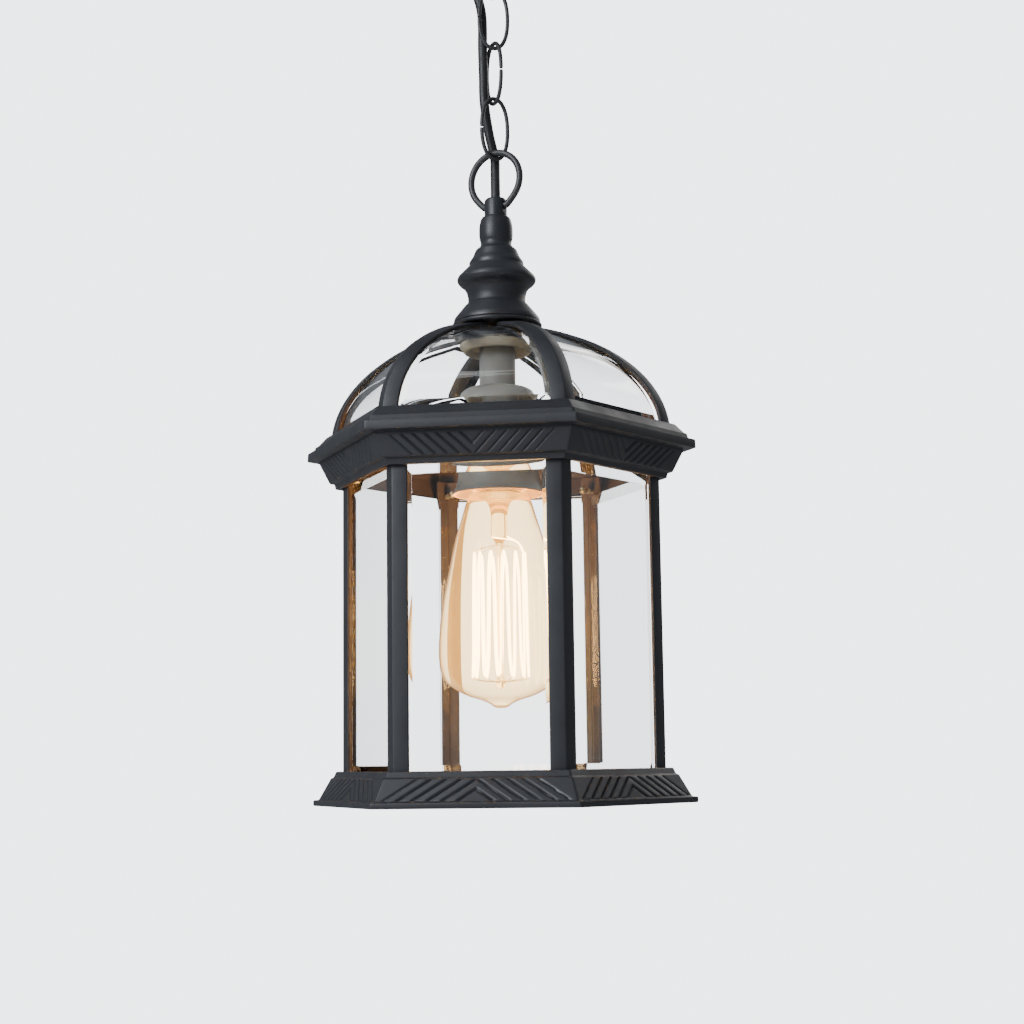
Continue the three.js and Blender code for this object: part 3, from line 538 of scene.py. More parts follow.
def chevrons(across, up, length, points_down):
    """The cast relief on a frieze, in mm: reeds that meet in the middle round a plain triangle.
    across and up are along the face from its middle and up its slope."""
    depth, plain = 1.0, 0.62
    if points_down:
        angle, pitch, count, triangle = math.radians(46), 5.8, 6, 6.2
        phase = (np.abs(across) - (up - length + triangle) / math.tan(angle)) / pitch
    else:
        angle, pitch, count, triangle = math.radians(36), 7.3, 5, 9
        phase = (np.abs(across) + up / math.tan(angle) - triangle) / pitch
    part = phase % 1.0
    groove = soft_step(part, 0.0, 0.24) * soft_step(1 - part, 0.0, 0.1)
    slope = 0.72 + 0.28 * (1 - part)
    reeds = (phase > 0) & (phase < count)
    height = np.where(reeds, depth * groove * slope, depth * plain)
    near_line = np.abs(phase - np.clip(np.round(phase), 0, count)) * pitch
    outside_groove = soft_step(near_line, 0.0, 1.0)
    height = np.where(reeds, height, height * outside_groove)
    edge = soft_step(up, 0.1, 0.9) * soft_step(length - up, 0.1, 0.9)
    return (height - depth * plain) * edge


def hexagon_row(radius, corner):
    """(x, y, face, distance along the face) round one hexagon with rounded corners."""
    row = []
    half = radius / 2 - corner * math.tan(math.pi / 6)
    for k in range(FACES):
        middle = math.radians(60 * k)
        reach = radius - corner / APOTHEM
        for step in range(5):
            a = middle + math.radians(-30 + 15 * step)
            x = reach * math.cos(middle) + corner * math.cos(a)
            y = reach * math.sin(middle) + corner * math.sin(a)
            row.append((x, y, -1, 0.0))
        facing = middle + math.pi / 6
        for step in range(1, FACE_STEPS):
            u = -half + 2 * half * step / FACE_STEPS
            x = radius * APOTHEM * math.cos(facing) - u * math.sin(facing)
            y = radius * APOTHEM * math.sin(facing) + u * math.cos(facing)
            row.append((x, y, k, u))
    return row


def hexagon_frame(profile, points_down):
    """A cast hexagonal frame of the given corner-radius profile, with chevrons on its frieze."""
    low, high = profile[FRIEZE_ROW], profile[FRIEZE_ROW + 1]
    fine = []
    count = len(profile)
    for i in range(count):
        before, at, after = (profile[(i + k) % count] for k in (-1, 0, 1))
        soft = rounded([before, at, after], 0.55, 2, closed=False)[1:-1]
        fine += [(r, h, None) for r, h in soft]
        if i == FRIEZE_ROW:
            for k in range(1, FRIEZE_STEPS):
                t = k / FRIEZE_STEPS
                fine.append((low[0] + (high[0] - low[0]) * t, low[1] + (high[1] - low[1]) * t, t))
    rise, lean = high[1] - low[1], (high[0] - low[0]) * APOTHEM
    slope = math.hypot(rise, lean)
    outwards, upwards = rise / slope, -lean / slope
    points = []
    for r, h, t in fine:
        row = np.array(hexagon_row(r, 1.1))
        xyz = np.stack([row[:, 0], row[:, 1], np.full(len(row), h)], 1)
        if t is not None:
            relief = chevrons(row[:, 3], t * slope, slope, points_down)
            relief = np.where(row[:, 2] >= 0, relief, 0)
            facing = np.radians(60 * row[:, 2] + 30)
            xyz[:, 0] += relief * outwards * np.cos(facing)
            xyz[:, 1] += relief * outwards * np.sin(facing)
            xyz[:, 2] += relief * upwards
        points.append(xyz)
    columns = len(points[0])
    return np.concatenate(points), grid(len(fine), columns, ring_rows=True)


# ------------------------------------------------------------------ posts, panes and screws
def angle_section(corner, leg, thickness):
    """Outline of an angle whose corner points along +X, with its legs along two faces."""
    def point(distance, side, inset):
        x = corner - distance * 0.5 - inset * APOTHEM
        return x, side * (distance * APOTHEM - inset * 0.5)

    sharp = [(corner, 0), point(leg, 1, 0), point(leg, 1, thickness),
             (corner - thickness / APOTHEM, 0), point(leg, -1, thickness), point(leg, -1, 0)]
    return rounded(sharp, 0.7, 4)


def corner_post():
    section = angle_section(POST_RADIUS, POST_LEG, POST_THICKNESS)
    heights = [POST_BOTTOM, POST_BOTTOM + 0.3] + list(np.linspace(POST_BOTTOM + 4, POST_TOP - 4, 24))
    heights += [POST_TOP - 0.3, POST_TOP]
    middle = np.array([POST_RADIUS - 4, 0])
    loops = []
    for h in heights:
        inset = 0.96 if h in (POST_BOTTOM, POST_TOP) else 1.0
        loops.append([(*(middle + (np.array(p) - middle) * inset), h) for p in section])
    return layered(loops)


def corner_screw():
    """A ball-headed screw that ties a post to the roof, lying along +X."""
    ball = [(0, -SCREW_BALL)] + [
        (SCREW_BALL * math.cos(a), SCREW_BALL * math.sin(a))
        for a in np.radians(np.linspace(-80, 48, 14))
    ]
    shank = [(1.5, 2.0)]
    for k in range(18):
        shank += [(1.5, 2.4 + 0.8 * k), (1.24, 2.8 + 0.8 * k)]
    profile = ball + shank + [(1.5, 17), (0, 17.3)]
    points, faces = lathe(profile, 28)
    points[:, 2] += SCREW_BALL_RADIUS
    points, faces = laid_along_x((points, faces))
    points[:, 2] += SCREW_HEIGHT
    return points, faces


def wall_pane():
    """A flat pane whose outward side is +X, with a wide bevel and small ground arrises."""
    face = POST_RADIUS * APOTHEM - POST_THICKNESS - GAP
    back = face - PANE_THICKNESS

    def loop(x, inset):
        low, high = PANE_BOTTOM + inset, PANE_TOP - inset
        half = PANE_HALF_WIDTH - inset
        corners = [(-half, low), (half, low), (half, high), (-half, high)]
        ring = []
        for i in range(4):
            a, b = np.array(corners[i]), np.array(corners[(i + 1) % 4])
            ring += [(x, *(a + (b - a) * t)) for t in np.linspace(0, 1, 9)[:-1]]
        return ring

    return layered([
        loop(back, 0.2), loop(back + 0.2, 0), loop(back + PANE_EDGE, 0),
        loop(face - 0.06, PANE_BEVEL - 0.15), loop(face, PANE_BEVEL + 0.15),
    ])


# ------------------------------------------------------------------ dome
def dome_rows(foot, end_radius, steps, ease, flatness):
    """Radius, height and outward direction up the dome's curve, in steps that grow from its foot."""
    start = math.asin((foot - DOME_CENTRE) / DOME_RISE)
    end = math.acos(end_radius / DOME_RADIUS)
    for i in range(steps + 1):
        angle = start + (end - start) * (i / steps) ** ease
        c, s = math.cos(angle), math.sin(angle)
        slope = math.atan2(DOME_RISE * c, DOME_RADIUS * s * flatness)
        out = (math.sin(slope), math.cos(slope))
        yield DOME_RADIUS * c, DOME_CENTRE + DOME_RISE * s, out


def dome_rib():
    """An angle section over the dome's corner line, above +X, with a flared foot."""
    loops = []
    for r, h, out in dome_rows(RIB_FOOT, RIB_END_RADIUS, 72, 1.35, 1):
        missing = max(0.0, 1 - (h - RIB_FOOT) / RIB_FLARE)
        flare = RIB_FLARE * (1 - math.sqrt(max(0.0, 1 - missing ** 2))) * 0.9
        half = min(RIB_LEG * APOTHEM, r * 0.4) + flare
        fall = half * math.tan(math.pi / 6) * out[0]
        inner = half - RIB_THICKNESS * 0.5 * out[0]
        section = rounded([
            (0, 0), (half, fall), (inner, fall + RIB_THICKNESS), (0, RIB_THICKNESS * 1.12),
            (-inner, fall + RIB_THICKNESS), (-half, fall),
        ], 0.6, 3)
        lean = out if loops else (1, 0)
        loops.append([(r - depth * lean[0], y, h - depth * lean[1]) for y, depth in section])
    return layered(loops)


def dome_pane():
    """A pane bent one way, narrower towards the top, bevelled outside on its sides and foot. Its
    outward side is +X."""
    outer = RIB_THICKNESS + GAP
    inner = outer + DOME_GLASS_THICKNESS
    loops, along, last = [], 0.0, None
    for r, h, out in dome_rows(DOME_GLASS_FOOT, DOME_GLASS_END_RADIUS, 64, 1.25, APOTHEM):
        if last is not None:
            along += math.hypot((r - last[0]) * APOTHEM, h - last[1])
        last = (r, h)
        half = max(5.0, r / 2 - 4.6)
        bevel = min(DOME_BEVEL, half * 0.4)
        insets = [bevel * k / 6 for k in range(7)]
        ys = [-half + d for d in insets] + [0.0] + [half - d for d in reversed(insets)]
        section = []
        for y in ys:
            edge = min((half - abs(y)) / bevel, along / DOME_BEVEL, 1.0)
            section.append((y, outer + (DOME_GLASS_THICKNESS - PANE_EDGE) * (1 - edge)))
        section += [(half - 0.2, inner), (0.0, inner), (-half + 0.2, inner)]
        loops.append([(r * APOTHEM - d * out[0], y, h - d * out[1]) for y, d in section])
    return layered(loops)


# ------------------------------------------------------------------ turned parts
def finial():
    """The turned finial: a skirt, a waist, a flange, stacked beads and a drilled neck."""
    outside = [
        (22.9, FINIAL_FOOT), (22.9, 253.2), (22.4, 254.4), (17.2, 260.8), (16.8, 261.3),
        (15.5, 262.3), (15.2, 264), (15.3, 266.2), (16.2, 269.4), (17.6, 271.4), (19.8, 273),
        (20.8, 274.4), (21, 275.6), (20.4, 277), (14.9, 282.5), (14.5, 283.2), (14.5, 284.8),
        (13.9, 285.8), (12.4, 288), (11.2, 291.2), (10.6, 292), (9, 293), (8.2, 294.6), (8.2, 296),
        (8.7, 297.4), (9, 299.6), (9, 303.6), (8.7, 306), (8.1, 308.4), (7.4, 309.6),
        (6.1, 309.9), (NECK_RADIUS, 310.6), (NECK_RADIUS, NECK_TOP - 1.8),
    ]
    smooth = rounded(outside, 0.9, 4, closed=False)
    crown = [(5.7, NECK_TOP - 0.7), (5, NECK_TOP), (NECK_BORE + 0.9, NECK_TOP),
             (NECK_BORE + 0.2, NECK_TOP - 0.4), (NECK_BORE, NECK_TOP - 1.2)]
    inside = [(NECK_BORE, 274), (THREAD_RADIUS, 273.6), (THREAD_RADIUS, FINIAL_FOOT)]
    return lathe(smooth + crown + inside, 96)


def neck_holes(piece):
    """Drills the ring's two holes through the neck."""
    radius, reach = RING_WIRE + GAP, NECK_RADIUS + 3
    rod = lathe([(0, -reach), (radius, -reach), (radius, reach), (0, reach)], 32)
    cutter = make_piece("drill", laid_along_x(rod), None, look="black_paint")
    cutter.matrix_world = (Matrix.Translation((0, 0, (RING_PIVOT - CEILING) / 1000))
                           @ Matrix.Rotation(math.radians(RING_TURN), 4, "Z")
                           @ Matrix.Translation((0, 0, CEILING / 1000)))
    modifier = piece.modifiers.new("holes", "BOOLEAN")
    modifier.operation, modifier.solver, modifier.object = "DIFFERENCE", "EXACT", cutter
    holed = evaluated_mesh(piece)
    piece.modifiers.clear()
    piece.data = holed
    bpy.data.objects.remove(cutter)


def dome_cap():
    b, t = FINIAL_FOOT - 2.8, FINIAL_FOOT - GAP
    return lathe(rounded([(THREAD_RADIUS, b), (23.2, b), (23.8, b + 0.8), (23.8, t - 0.8),
                          (23, t), (THREAD_RADIUS, t)], 0.5, 3), 96)


def dome_hub():
    """The bowl under the ribs, which the spacer presses up against them."""
    return lathe(rounded([
        (THREAD_RADIUS, HUB_TOP), (19, HUB_TOP), (20, 241.8), (19.7, 240.4), (17.4, 237.4),
        (16.6, HUB_BOTTOM), (15.9, 237.6), (13.6, 240.2), (SPACER_RADIUS + 1, HUB_SEAT),
        (THREAD_RADIUS, HUB_SEAT)], 0.7, 4), 80)


def socket_cup():
    """A spun metal cup with a round shoulder and a flared, rolled rim."""
    under, bore = CUP_TOP - CUP_WALL, CUP_RADIUS - CUP_WALL
    shoulder = curve_through([(9, CUP_TOP), (13.5, 217.2), (17.3, 216), (19.8, 213.6),
                              (CUP_RADIUS, 210), (CUP_RADIUS, 206)], 1.0)
    inner = curve_through([(bore, 206), (bore, 210), (18.7, 213), (16.6, 214.9), (13, 216),
                           (9, under)], 1.2)
    flare_out = curve_through([(CUP_RADIUS, 173), (21.3, 168.5), (22.4, 164), (24.4, 160.4)], 1.0)
    flare_in = curve_through([(23.2, CUP_RIM), (21.5, 163.8), (20.2, 168.6), (bore, 173)], 1.0)
    return lathe([(THREAD_RADIUS, CUP_TOP)] + shoulder + flare_out + [(24.1, 159.95)] + flare_in
                 + inner + [(THREAD_RADIUS, under)], 80)


def helix(height, angle, pitch, hand=-1):
    """From 0 in a thread's groove to 1 on its crest."""
    return 0.5 + 0.5 * math.cos(2 * math.pi * height / pitch + hand * angle)


def threaded(outer, inner, bottom, top):
    """A threaded tube: a helical crest over a plain bore."""
    pitch, depth = 1.0, 0.3
    rows = [(outer, h) for h in np.arange(bottom, top, pitch / 4)]
    rows += [(outer, top), (inner, top), (inner, bottom)]

    def crest(r, h, a):
        return outer - depth * helix(h, a, pitch) if r == outer else r

    return lathe(rows, 36, crest)


def socket_insulator():
    bore = SHELL_RADIUS + GAP
    return lathe(rounded([
        (THREAD_RADIUS, SOCKET_TOP), (SOCKET_RADIUS - 2, SOCKET_TOP),
        (SOCKET_RADIUS, SOCKET_TOP - 2), (SOCKET_RADIUS, SOCKET_BOTTOM),
        (bore + 1.4, SOCKET_BOTTOM - 0.6), (bore, SOCKET_BOTTOM), (bore, SOCKET_CHAMBER),
        (4.2, SOCKET_CHAMBER), (4.2, 200), (THREAD_RADIUS, 203)], 0.5, 3), 64)


def socket_shell():
    """The screw shell, with its thread rolled into the wall."""
    def rolled(r, h, a):
        if not SHELL_BOTTOM + 1 < h < SHELL_TOP - 1.7:
            return r
        return r - 0.24 * (1 - helix(h, a, THREAD_PITCH))

    top = [(SHELL_RADIUS, SHELL_TOP), (6, SHELL_TOP), (6, SHELL_TOP - 0.4)]
    up = [(SHELL_RADIUS, h) for h in np.arange(SHELL_BOTTOM, SHELL_TOP - 0.1, 0.6)]
    down = [(SHELL_RADIUS - 0.3, h) for h in np.arange(SHELL_TOP - 0.5, SHELL_BOTTOM - 0.1, -0.6)]
    return lathe(up + top + down, 64, rolled)


def canopy():
    """A spun dish with a flat middle, a deep round shoulder and a rolled rim."""
    rim = CEILING - GAP
    reach, rise, wall = CANOPY_RADIUS - CANOPY_FLAT, rim - CANOPY_BOTTOM, CANOPY_WALL
    outside = [(CANOPY_FLAT + reach * math.sin(a), rim - rise * math.cos(a))
               for a in np.radians(np.linspace(0, 90, 40))]
    inside = [(CANOPY_FLAT + (reach - wall) * math.sin(a), rim - (rise - wall) * math.cos(a))
              for a in np.radians(np.linspace(90, 0, 30))]
    return lathe([(THREAD_RADIUS, CANOPY_BOTTOM)] + outside + inside
                 + [(THREAD_RADIUS, CANOPY_BOTTOM + wall)], 128)


def canopy_loop():
    """The threaded collar with the eye that carries the chain."""
    top = CANOPY_BOTTOM - GAP
    collar = lathe(rounded([
        (0, COLLAR_BOTTOM + 0.3), (6.5, COLLAR_BOTTOM), (8, COLLAR_BOTTOM + 1.5), (8, top - 1.6),
        (7.4, top - 1.2), (8, top - 0.6), (8, top), (THREAD_RADIUS, top),
        (THREAD_RADIUS, COLLAR_BOTTOM + 2.2), (0, COLLAR_BOTTOM + 2.1)], 0.4, 3, closed=False), 64)
    circle = [(LOOP_RADIUS * math.cos(a), 0, LOOP_HEIGHT + LOOP_RADIUS * math.sin(a))
              for a in np.linspace(0, 2 * math.pi, 97)[:-1]]
    return joined(collar, turned_about(tube(circle, LOOP_WIRE, 20, closed=True), LOOP_TURN))


def cord_bushing():
    bore = CORD_DIAMETER / 2 + 0.35
    c = CANOPY_BOTTOM
    ribs = []
    for k in range(4):
        ribs += [(3.6 + 0.28 * k, c - 5.6 + k * 0.9), (3.3 + 0.28 * k, c - 5.2 + k * 0.9)]
    part = lathe(rounded([
        (bore, c - 6), (bore + 0.6, c - 6), *ribs, (4.6, c - 2), (5.6, c - 1.8), (5.6, c - GAP),
        (4.1, c - GAP), (4.1, c + 3.5), (bore, c + 3.5)], 0.25, 2), 40)
    return turned_about(part, 0, (*CORD_HOLE, 0))


def lock_nut():
    """A hexagonal nut with chamfered ends."""
    low, high, flats = CANOPY_BOTTOM + 1.6, CANOPY_BOTTOM + 5, 14
    rows = [(5.2, low), (6.4, low), (7.2, low + 0.1), (8.2, low + 0.7), (8.2, high - 0.7),
            (7.2, high - 0.1), (6.4, high), (5.2, high)]

    def hexagonal(r, h, a):
        off = (a + math.pi / 6) % (math.pi / 3) - math.pi / 6
        return min(r, flats / 2 / math.cos(off)) if r > 6.5 else r

    return lathe(rows, 96, hexagonal)


def strap_screw(side):
    head = CEILING - STRAP_THICKNESS - GAP
    shank = []
    for k in range(13):
        shank += [(1.9, head + 0.4 + 0.8 * k), (1.6, head + 0.8 + 0.8 * k)]
    part = lathe([(0, head - 2.6), (1.4, head - 2.55), (2.4, head - 2.4), (3.3, head - 1.8),
                  (3.8, head - 1.2), (4, head), *shank, (1.5, CEILING + 9), (0, CEILING + 10)], 32)
    return turned_about(part, 0, (0, STRAP_HOLE_OFFSET * side, 0))


def ceiling_strap():
    """A flat crossbar with rounded corners and three holes."""
    edge = 0.0002
    half = STRAP_THICKNESS / 2000
    curve = bpy.data.curves.new("strap", "CURVE")
    curve.dimensions, curve.fill_mode = "2D", "BOTH"
    curve.extrude, curve.bevel_depth, curve.bevel_resolution = half - edge, edge, 2

    def add(points):
        spline = curve.splines.new("POLY")
        spline.points.add(len(points) - 1)
        for point, (x, y) in zip(spline.points, points):
            point.co = (x / 1000, y / 1000, 0, 1)
        spline.use_cyclic_u = True

    x, y = STRAP_HALF_WIDTH, STRAP_HALF_LENGTH
    add(rounded([(-x, -y), (x, -y), (x, y), (-x, y)], 4, 6))
    for y, r in ((0, THREAD_RADIUS), (STRAP_HOLE_OFFSET, 2.4), (-STRAP_HOLE_OFFSET, 2.4)):
        add([(r * math.cos(a), y + r * math.sin(a)) for a in np.linspace(0, 2 * math.pi, 33)[:-1]])
    holder = new_object("strap", curve)
    mesh = evaluated_mesh(holder)
    bpy.data.objects.remove(holder)
    mesh.transform(Matrix.Translation((0, 0, -half)))
    mesh.materials.clear()
    place_piece("strap_plate", mesh, "canopy", "ceiling_strap", "zinc_steel")


# ------------------------------------------------------------------ chain and ring
def chain_link(height, turn, seam_side):
    """An oval of round wire, open by a hair where its ends meet at the side."""
    def swell(value):
        return math.copysign(abs(value) ** LINK_SQUARENESS, value)

    side, reach = LINK_WIDTH / 2 - LINK_WIRE, LINK_LENGTH / 2 - LINK_WIRE
    share = LINK_SEAM / (LINK_LENGTH * 2.4)
    start = 0 if seam_side > 0 else math.pi
    path = []
    for t in np.linspace(0, 1, 121):
        a = start + 2 * math.pi * (share / 2 + t * (1 - share))
        path.append((side * swell(math.cos(a)), 0, height + reach * swell(math.sin(a))))

    def wire(t):
        end = min(t, 1 - t)
        return LINK_WIRE * (0.86 + 0.14 * min(1.0, end / 0.008))

    return turned_about(tube(path, wire, 16), turn)


def hanging_ring():
    """The open ring whose two ends turn in the neck's holes."""
    inner, outer = NECK_BORE + GAP, NECK_RADIUS + GAP
    drop = RING_PIVOT - RING_HEIGHT
    open_at = math.radians(50)
    foot = (RING_RADIUS * math.sin(open_at), -RING_RADIUS * math.cos(open_at))
    knee = foot[0] + (drop - foot[1]) / math.tan(open_at)
    half = [(inner, drop), ((inner + outer) / 2, drop)]
    turn_in = [np.array(point) for point in ((outer, drop), (knee, drop), foot)]
    half += [tuple(bend(u, *turn_in)) for u in np.linspace(0, 1, 13)[:-1]]
    for a in np.linspace(open_at, math.pi, 49):
        half.append((RING_RADIUS * math.sin(a), -RING_RADIUS * math.cos(a)))
    path = [(x, 0, RING_HEIGHT + z) for x, z in half]
    path += [(-x, 0, RING_HEIGHT + z) for x, z in reversed(half[:-1])]
    return turned_about(tube(path, RING_WIRE, 20), RING_TURN)


# ------------------------------------------------------------------ bulb
def bulb_glass():
    """The pear-shaped envelope, a thin vessel with a drawn tip."""
    outline = curve_through([
        (14.4, BULB_RIM), (16.9, 156.3), (19.6, 147.6), (22.6, 137.8), (26.5, 119.5), (29.6, 104.3),
        (31.5, 88.5), (32, 79.4), (31.4, 69.6), (28.8, 62.8), (24.8, 59.4), (17.4, 55.4),
        (9.4, 52.8), (5.4, 50.9), (3.4, 49.4), (1.6, 48.95), (0, 48.9)], 1.4)
    outline = [(max(0.0, r), h) for r, h in outline]
    inside = [(max(0.0, r - BULB_WALL), max(h, 49.8) + 0.25) for r, h in outline]
    inside[-1] = (0, 50.3)
    inside = [(12.6, BULB_RIM)] + [p for p in inside if p[1] < BULB_RIM]
    return lathe(inside[::-1] + outline, 96)


def bulb_cap():
    """The screw cap, with a real helical thread."""
    crest, root = CAP_CREST, CAP_CREST - 0.9
    low, high = CAP_BOTTOM + 3, CAP_TOP - 4.5
    heights = np.arange(CAP_BOTTOM + 0.5, high + 1, 0.35)
    rows = [(CAP_SKIN, CAP_BOTTOM)] + [(CAP_SKIN, h) for h in heights]

    def thread(r, h, a):
        if r != CAP_SKIN:
            return r
        fade = soft_step(h, low, low + 1.5) * (1 - soft_step(h, high - 1.5, high))
        return root + (crest - root) * helix(h, a, THREAD_PITCH, 1) * float(fade)

    top = rounded([(12.1, high + 1.2), (9.6, CAP_TOP - 1.8), (8, CAP_TOP - 0.6), (8, CAP_TOP),
                   (7, CAP_TOP), (7, CAP_TOP - 1.4), (11.6, high + 0.4)], 0.3, 2)
    return lathe(rows + top + [(11.6, CAP_BOTTOM)], 72, thread)


def bulb_stem():
    """The glass mount: a flare, the pinched seal, a rod and a button at each end."""
    return lathe(curve_through([
        (0, 159), (6, 160.2), (11, 160.6), (11.2, 159.4), (6.4, 156), (4.4, 150), (4.2, 138),
        (2.2, 134.6), (1.5, 131), (1.5, 100), (1.5, 66), (2.6, 63), (2.4, 61), (1.4, 59.3),
        (0, 59)], 2.0)[:-1] + [(0, 59)], 28)


def filament_path():
    """Wire that runs up and down round a cage."""
    path = []
    count = FILAMENT_LOOPS * 24
    for i in range(count + 1):
        t = i / count
        swing = math.cos(2 * math.pi * t * FILAMENT_LOOPS)
        soft = math.copysign(abs(swing) ** 0.42, swing)
        angle = t * FILAMENT_TURN
        r = FILAMENT_RADIUS - 0.6 * swing
        height = FILAMENT_CENTRE + FILAMENT_REACH * soft
        path.append((r * math.cos(angle), r * math.sin(angle), height))
    return path


def filament_parts():
    """The wire and the two leads that bring it the current."""
    parts = [tube(filament_path(), FILAMENT_WIRE, 8)]
    for angle, side in ((0.0, 3.6), (FILAMENT_TURN, -3.6)):
        x, y = 13.0 * math.cos(angle), 13.0 * math.sin(angle)
        lead = [(x, y, FILAMENT_CENTRE + FILAMENT_REACH), (x * 0.8, y * 0.8, 134), (side, 0, 138)]
        parts.append(tube(curve_through(lead, 1.5), 0.32, 8))
    return joined(*parts)


def filament_hooks():
    """The stem's wire hooks, one at every bend of the filament."""
    parts = []
    for k in range(2 * FILAMENT_LOOPS):
        angle = FILAMENT_TURN * k / (2 * FILAMENT_LOOPS)
        if k % 2 == 0:
            h, root, r, lift = 130.4, 133.4, 12.9, 1.2
        else:
            h, root, r, lift = 63.9, 62.6, 14.0, -1.2
        c, s = math.cos(angle), math.sin(angle)
        hook = [(1.3 * c, 1.3 * s, root), (r * 0.5 * c, r * 0.5 * s, (h + root) / 2 + lift * 0.4),
                (r * c, r * s, h), ((r + 0.9) * c, (r + 0.9) * s, h - lift * 0.5)]
        parts.append(tube(curve_through(hook, 1.2), 0.2, 6))
    return joined(*parts)


# ------------------------------------------------------------------ assembly
def make_ceiling_fitting():
    ceiling_strap()
    for i, side in enumerate((-1, 1)):
        make_piece(f"strap_bolt_{i + 1}", strap_screw(side), "canopy", f"strap_screw_{i + 1}",
                   "fitting_brass")
    nipple = threaded(NIPPLE_RADIUS, NIPPLE_BORE, COLLAR_BOTTOM + 2.3, CEILING - GAP)
    make_pieces(
        "canopy",
        ("canopy_dish", canopy(), "canopy", "black_paint", 40),
        ("canopy_tube", nipple, "canopy_nipple", "fitting_brass"),
        ("lock_nut", lock_nut(), "canopy_lock_nut", "fitting_brass"),
        ("canopy_eye", canopy_loop(), "canopy_loop", "black_paint"),
        ("bushing", cord_bushing(), "cord_bushing", "cord_sheath"),
    )


def make_chain():
    hung = [(node, body, chain_link(*shape), f"{node}_wire") for node, body, *shape in LINKS]
    for node, body, part, name in hung + [("hanging_ring", "ring", hanging_ring(), "ring_wire")]:
        make_piece(name, part, body, node, "black_paint", 50, "chain_paint")


def make_body():
    neck_holes(make_piece("finial_turning", finial(), "lantern", "finial", "black_paint", 40))
    low, high = CUP_TOP + GAP, HUB_SEAT - GAP
    spacer = rounded([(SPACER_RADIUS, low), (SPACER_RADIUS, high), (THREAD_RADIUS, high),
                      (THREAD_RADIUS, low)], 0.4, 2)
    nipple = threaded(NIPPLE_RADIUS, NIPPLE_BORE, SOCKET_TOP - 10, FINIAL_FOOT + 21)
    make_pieces(
        "lantern",
        ("cap_disc", dome_cap(), "dome_cap", "black_paint"),
        # the hub's look has a painted warm reflection in its colour
        ("hub_bowl", dome_hub(), "dome_hub", "grey_paint", 32, "hub_paint"),
        ("spacer", lathe(spacer, 56), "spacer_tube", "grey_paint"),
        ("stem_tube", nipple, "socket_nipple", "fitting_brass"),
        ("roof_casting", hexagon_frame(ROOF_PROFILE, True), "roof_frame", "black_paint", 40),
        ("base_casting", hexagon_frame(BASE_PROFILE, False), "base_frame", "black_paint", 40),
    )
    around = [  # turn, piece, mesh, the node it stands for, slot, sharp angle
        (0, "rib", dome_rib(), "dome_rib", "black_paint", 40),
        (0, "post", corner_post(), "corner_post", "black_paint", 40),
        (0, "ball_screw", corner_screw(), "corner_screw", "fitting_brass", 32),
        (30, "dome_pane", dome_pane(), "dome_glass", "pane_glass", 15),
        (30, "wall_pane", wall_pane(), "wall_glass", "pane_glass", 5),
    ]
    for k in range(FACES):
        for turn, name, part, node, *looks in around:
            make_piece(f"{name}_{k + 1}", turned_about(part, 60 * k + turn), "lantern",
                       f"{node}_{k + 1}", *looks)


def make_socket():
    low, high = SOCKET_CHAMBER - 2.6, SOCKET_CHAMBER + 6
    spring = rounded([(0, low), (2.6, low + 0.2), (3.4, low + 0.8), (3.8, low + 1.8), (3.8, high),
                      (0, high)], 0.4, 3, closed=False)
    make_pieces(
        "lantern",
        ("cup_shell", socket_cup(), "socket_cup", "grey_paint"),
        ("socket_body", socket_insulator(), "socket_insulator", "ceramic"),
        ("screw_shell", socket_shell(), "socket_shell", "shell_copper"),
        ("tip_spring", lathe(spring, 32), "socket_contact", "fitting_brass"),
    )


def make_bulb():
    t = CAP_TOP
    b = t + 2.6 + GAP
    contact = rounded([(0, b), (4.6, b), (4.2, b + 1), (2.4, b + 1.7), (0, b + 1.9)], 0.5, 3,
                      closed=False)
    insulator = rounded([(0, t - 3), (6.7, t - 3), (6.7, t + 1), (5.4, t + 2.6), (0, t + 2.6)],
                        0.6, 3, closed=False)
    make_piece("tip_contact", lathe(contact, 32), "bulb_seat", "bulb_contact", "zinc_steel")
    wire = make_piece("filament_wire", filament_parts(), "bulb", "bulb_filament", "filament", 60)
    wire.visible_diffuse = False  # the bulb's lights do the lighting
    make_pieces(
        "bulb",
        ("screw_cap", bulb_cap(), "bulb_cap", "cap_brass", 50),
        ("cap_glass", lathe(insulator, 40), "bulb_insulator", "cap_insulator"),
        ("bulb_envelope", bulb_glass(), "bulb_glass", "bulb_glass", 60),
        ("bulb_mount", bulb_stem(), "bulb_stem", "bulb_glass", 50),
        ("filament_hooks", filament_hooks(), None, "filament", 60, "zinc_steel"),
    )


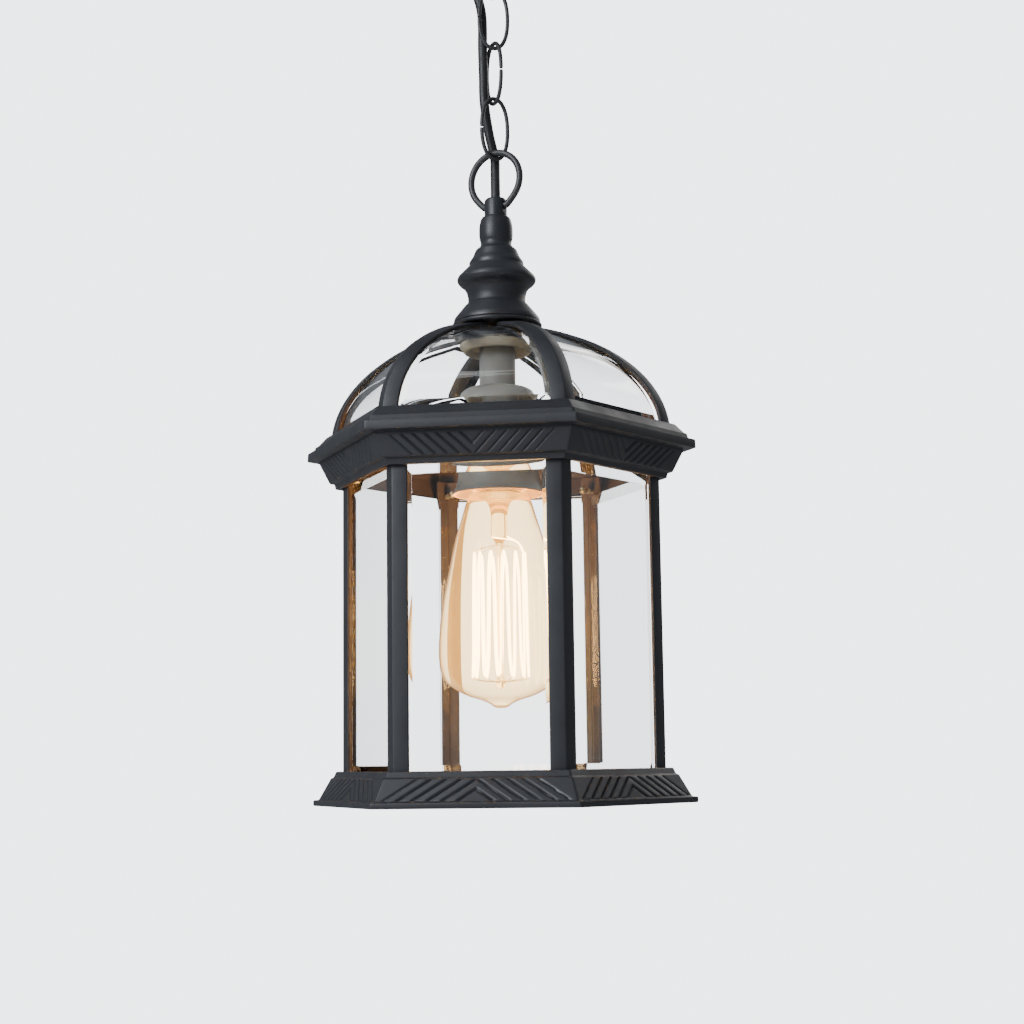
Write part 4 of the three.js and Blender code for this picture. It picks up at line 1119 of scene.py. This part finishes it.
# ------------------------------------------------------------------ stage and light
def make_stage():
    """A plain pale floor well below the lantern, brighter to look at than it shines."""
    mesh = bpy.data.meshes.new("floor")
    side, height = 5.0, -1.4
    corners = [(-side, -side, height), (side, -side, height), (side, side, height),
               (-side, side, height)]
    mesh.from_pydata(corners, [], [(0, 1, 2, 3)])
    n = Nodes("floor_matt")
    n.set(Base_Color=n.ramp(n.noise(3, 2), [(0.3, (0.84, 0.85, 0.87)), (0.7, (0.88, 0.89, 0.91))]))
    n.set(Roughness=0.9)
    pale = n.add("ShaderNodeEmission", Color=(0.93, 0.945, 0.98), Strength=3.7)
    n.seen_or_felt(pale.outputs["Emission"], n.tree.nodes["Principled BSDF"].outputs["BSDF"])
    mesh.materials.append(n.owner)
    new_object("floor", mesh)


def make_world():
    """A pale surround, brighter to look at than it shines."""
    n = Nodes("studio", bpy.data.worlds, "World Output")
    bpy.context.scene.world = n.owner
    seen = n.add("ShaderNodeBackground", Color=(0.93, 0.95, 1.0), Strength=4.1)
    felt = n.add("ShaderNodeBackground", Color=(0.88, 0.93, 1.0), Strength=0.24)
    n.seen_or_felt(seen.outputs["Background"], felt.outputs["Background"])


def area_light(name, place, size, power, colour):
    """A rectangular light that faces the lantern's middle."""
    data = bpy.data.lights.new(name, "AREA")
    data.shape, data.size, data.size_y = "RECTANGLE", size[0], size[1]
    data.energy, data.color = power, colour
    light = new_object(name, data)
    light.location = place
    aim = Vector((0, 0, -0.33)) - light.location
    light.rotation_euler = aim.to_track_quat("-Z", "Y").to_euler()


def bulb_light(name, kind, height, power):
    """A small warm light inside the bulb that shines on the lantern but isn't itself seen."""
    data = bpy.data.lights.new(name, kind)
    data.energy, data.color, data.shadow_soft_size = power, (1.0, 0.42, 0.17), 0.004
    if kind == "SPOT":
        data.spot_size, data.spot_blend = math.radians(172), 0.3
    lamp = new_object(name, data)
    lamp.location = to_frame((0, 0, height))[0]
    lamp.visible_camera = lamp.visible_transmission = lamp.visible_glossy = False
    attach(lamp, "bulb")


def make_lights():
    area_light("key", (-1.5, -2.0, 0.62), (1.3, 1.3), 62, (0.92, 0.95, 1.0))
    area_light("top", (-1.0, -0.9, 1.6), (1.1, 1.1), 12, (0.92, 0.96, 1.0))
    area_light("back", (0.9, 1.8, 0.6), (1.4, 1.0), 10, (1.0, 0.98, 0.95))
    bulb_light("glow_above", "POINT", 136, 2.1)
    bulb_light("glow_below", "SPOT", 124, 2.8)


def write_sizes():
    def plain(box):
        return [[float(v) for v in corner] for corner in box]


make_camera()
MATERIALS = make_materials()
make_cord()
make_ceiling_fitting()
make_chain()
make_body()
make_socket()
make_bulb()
make_stage()
make_world()
make_lights()
write_sizes()
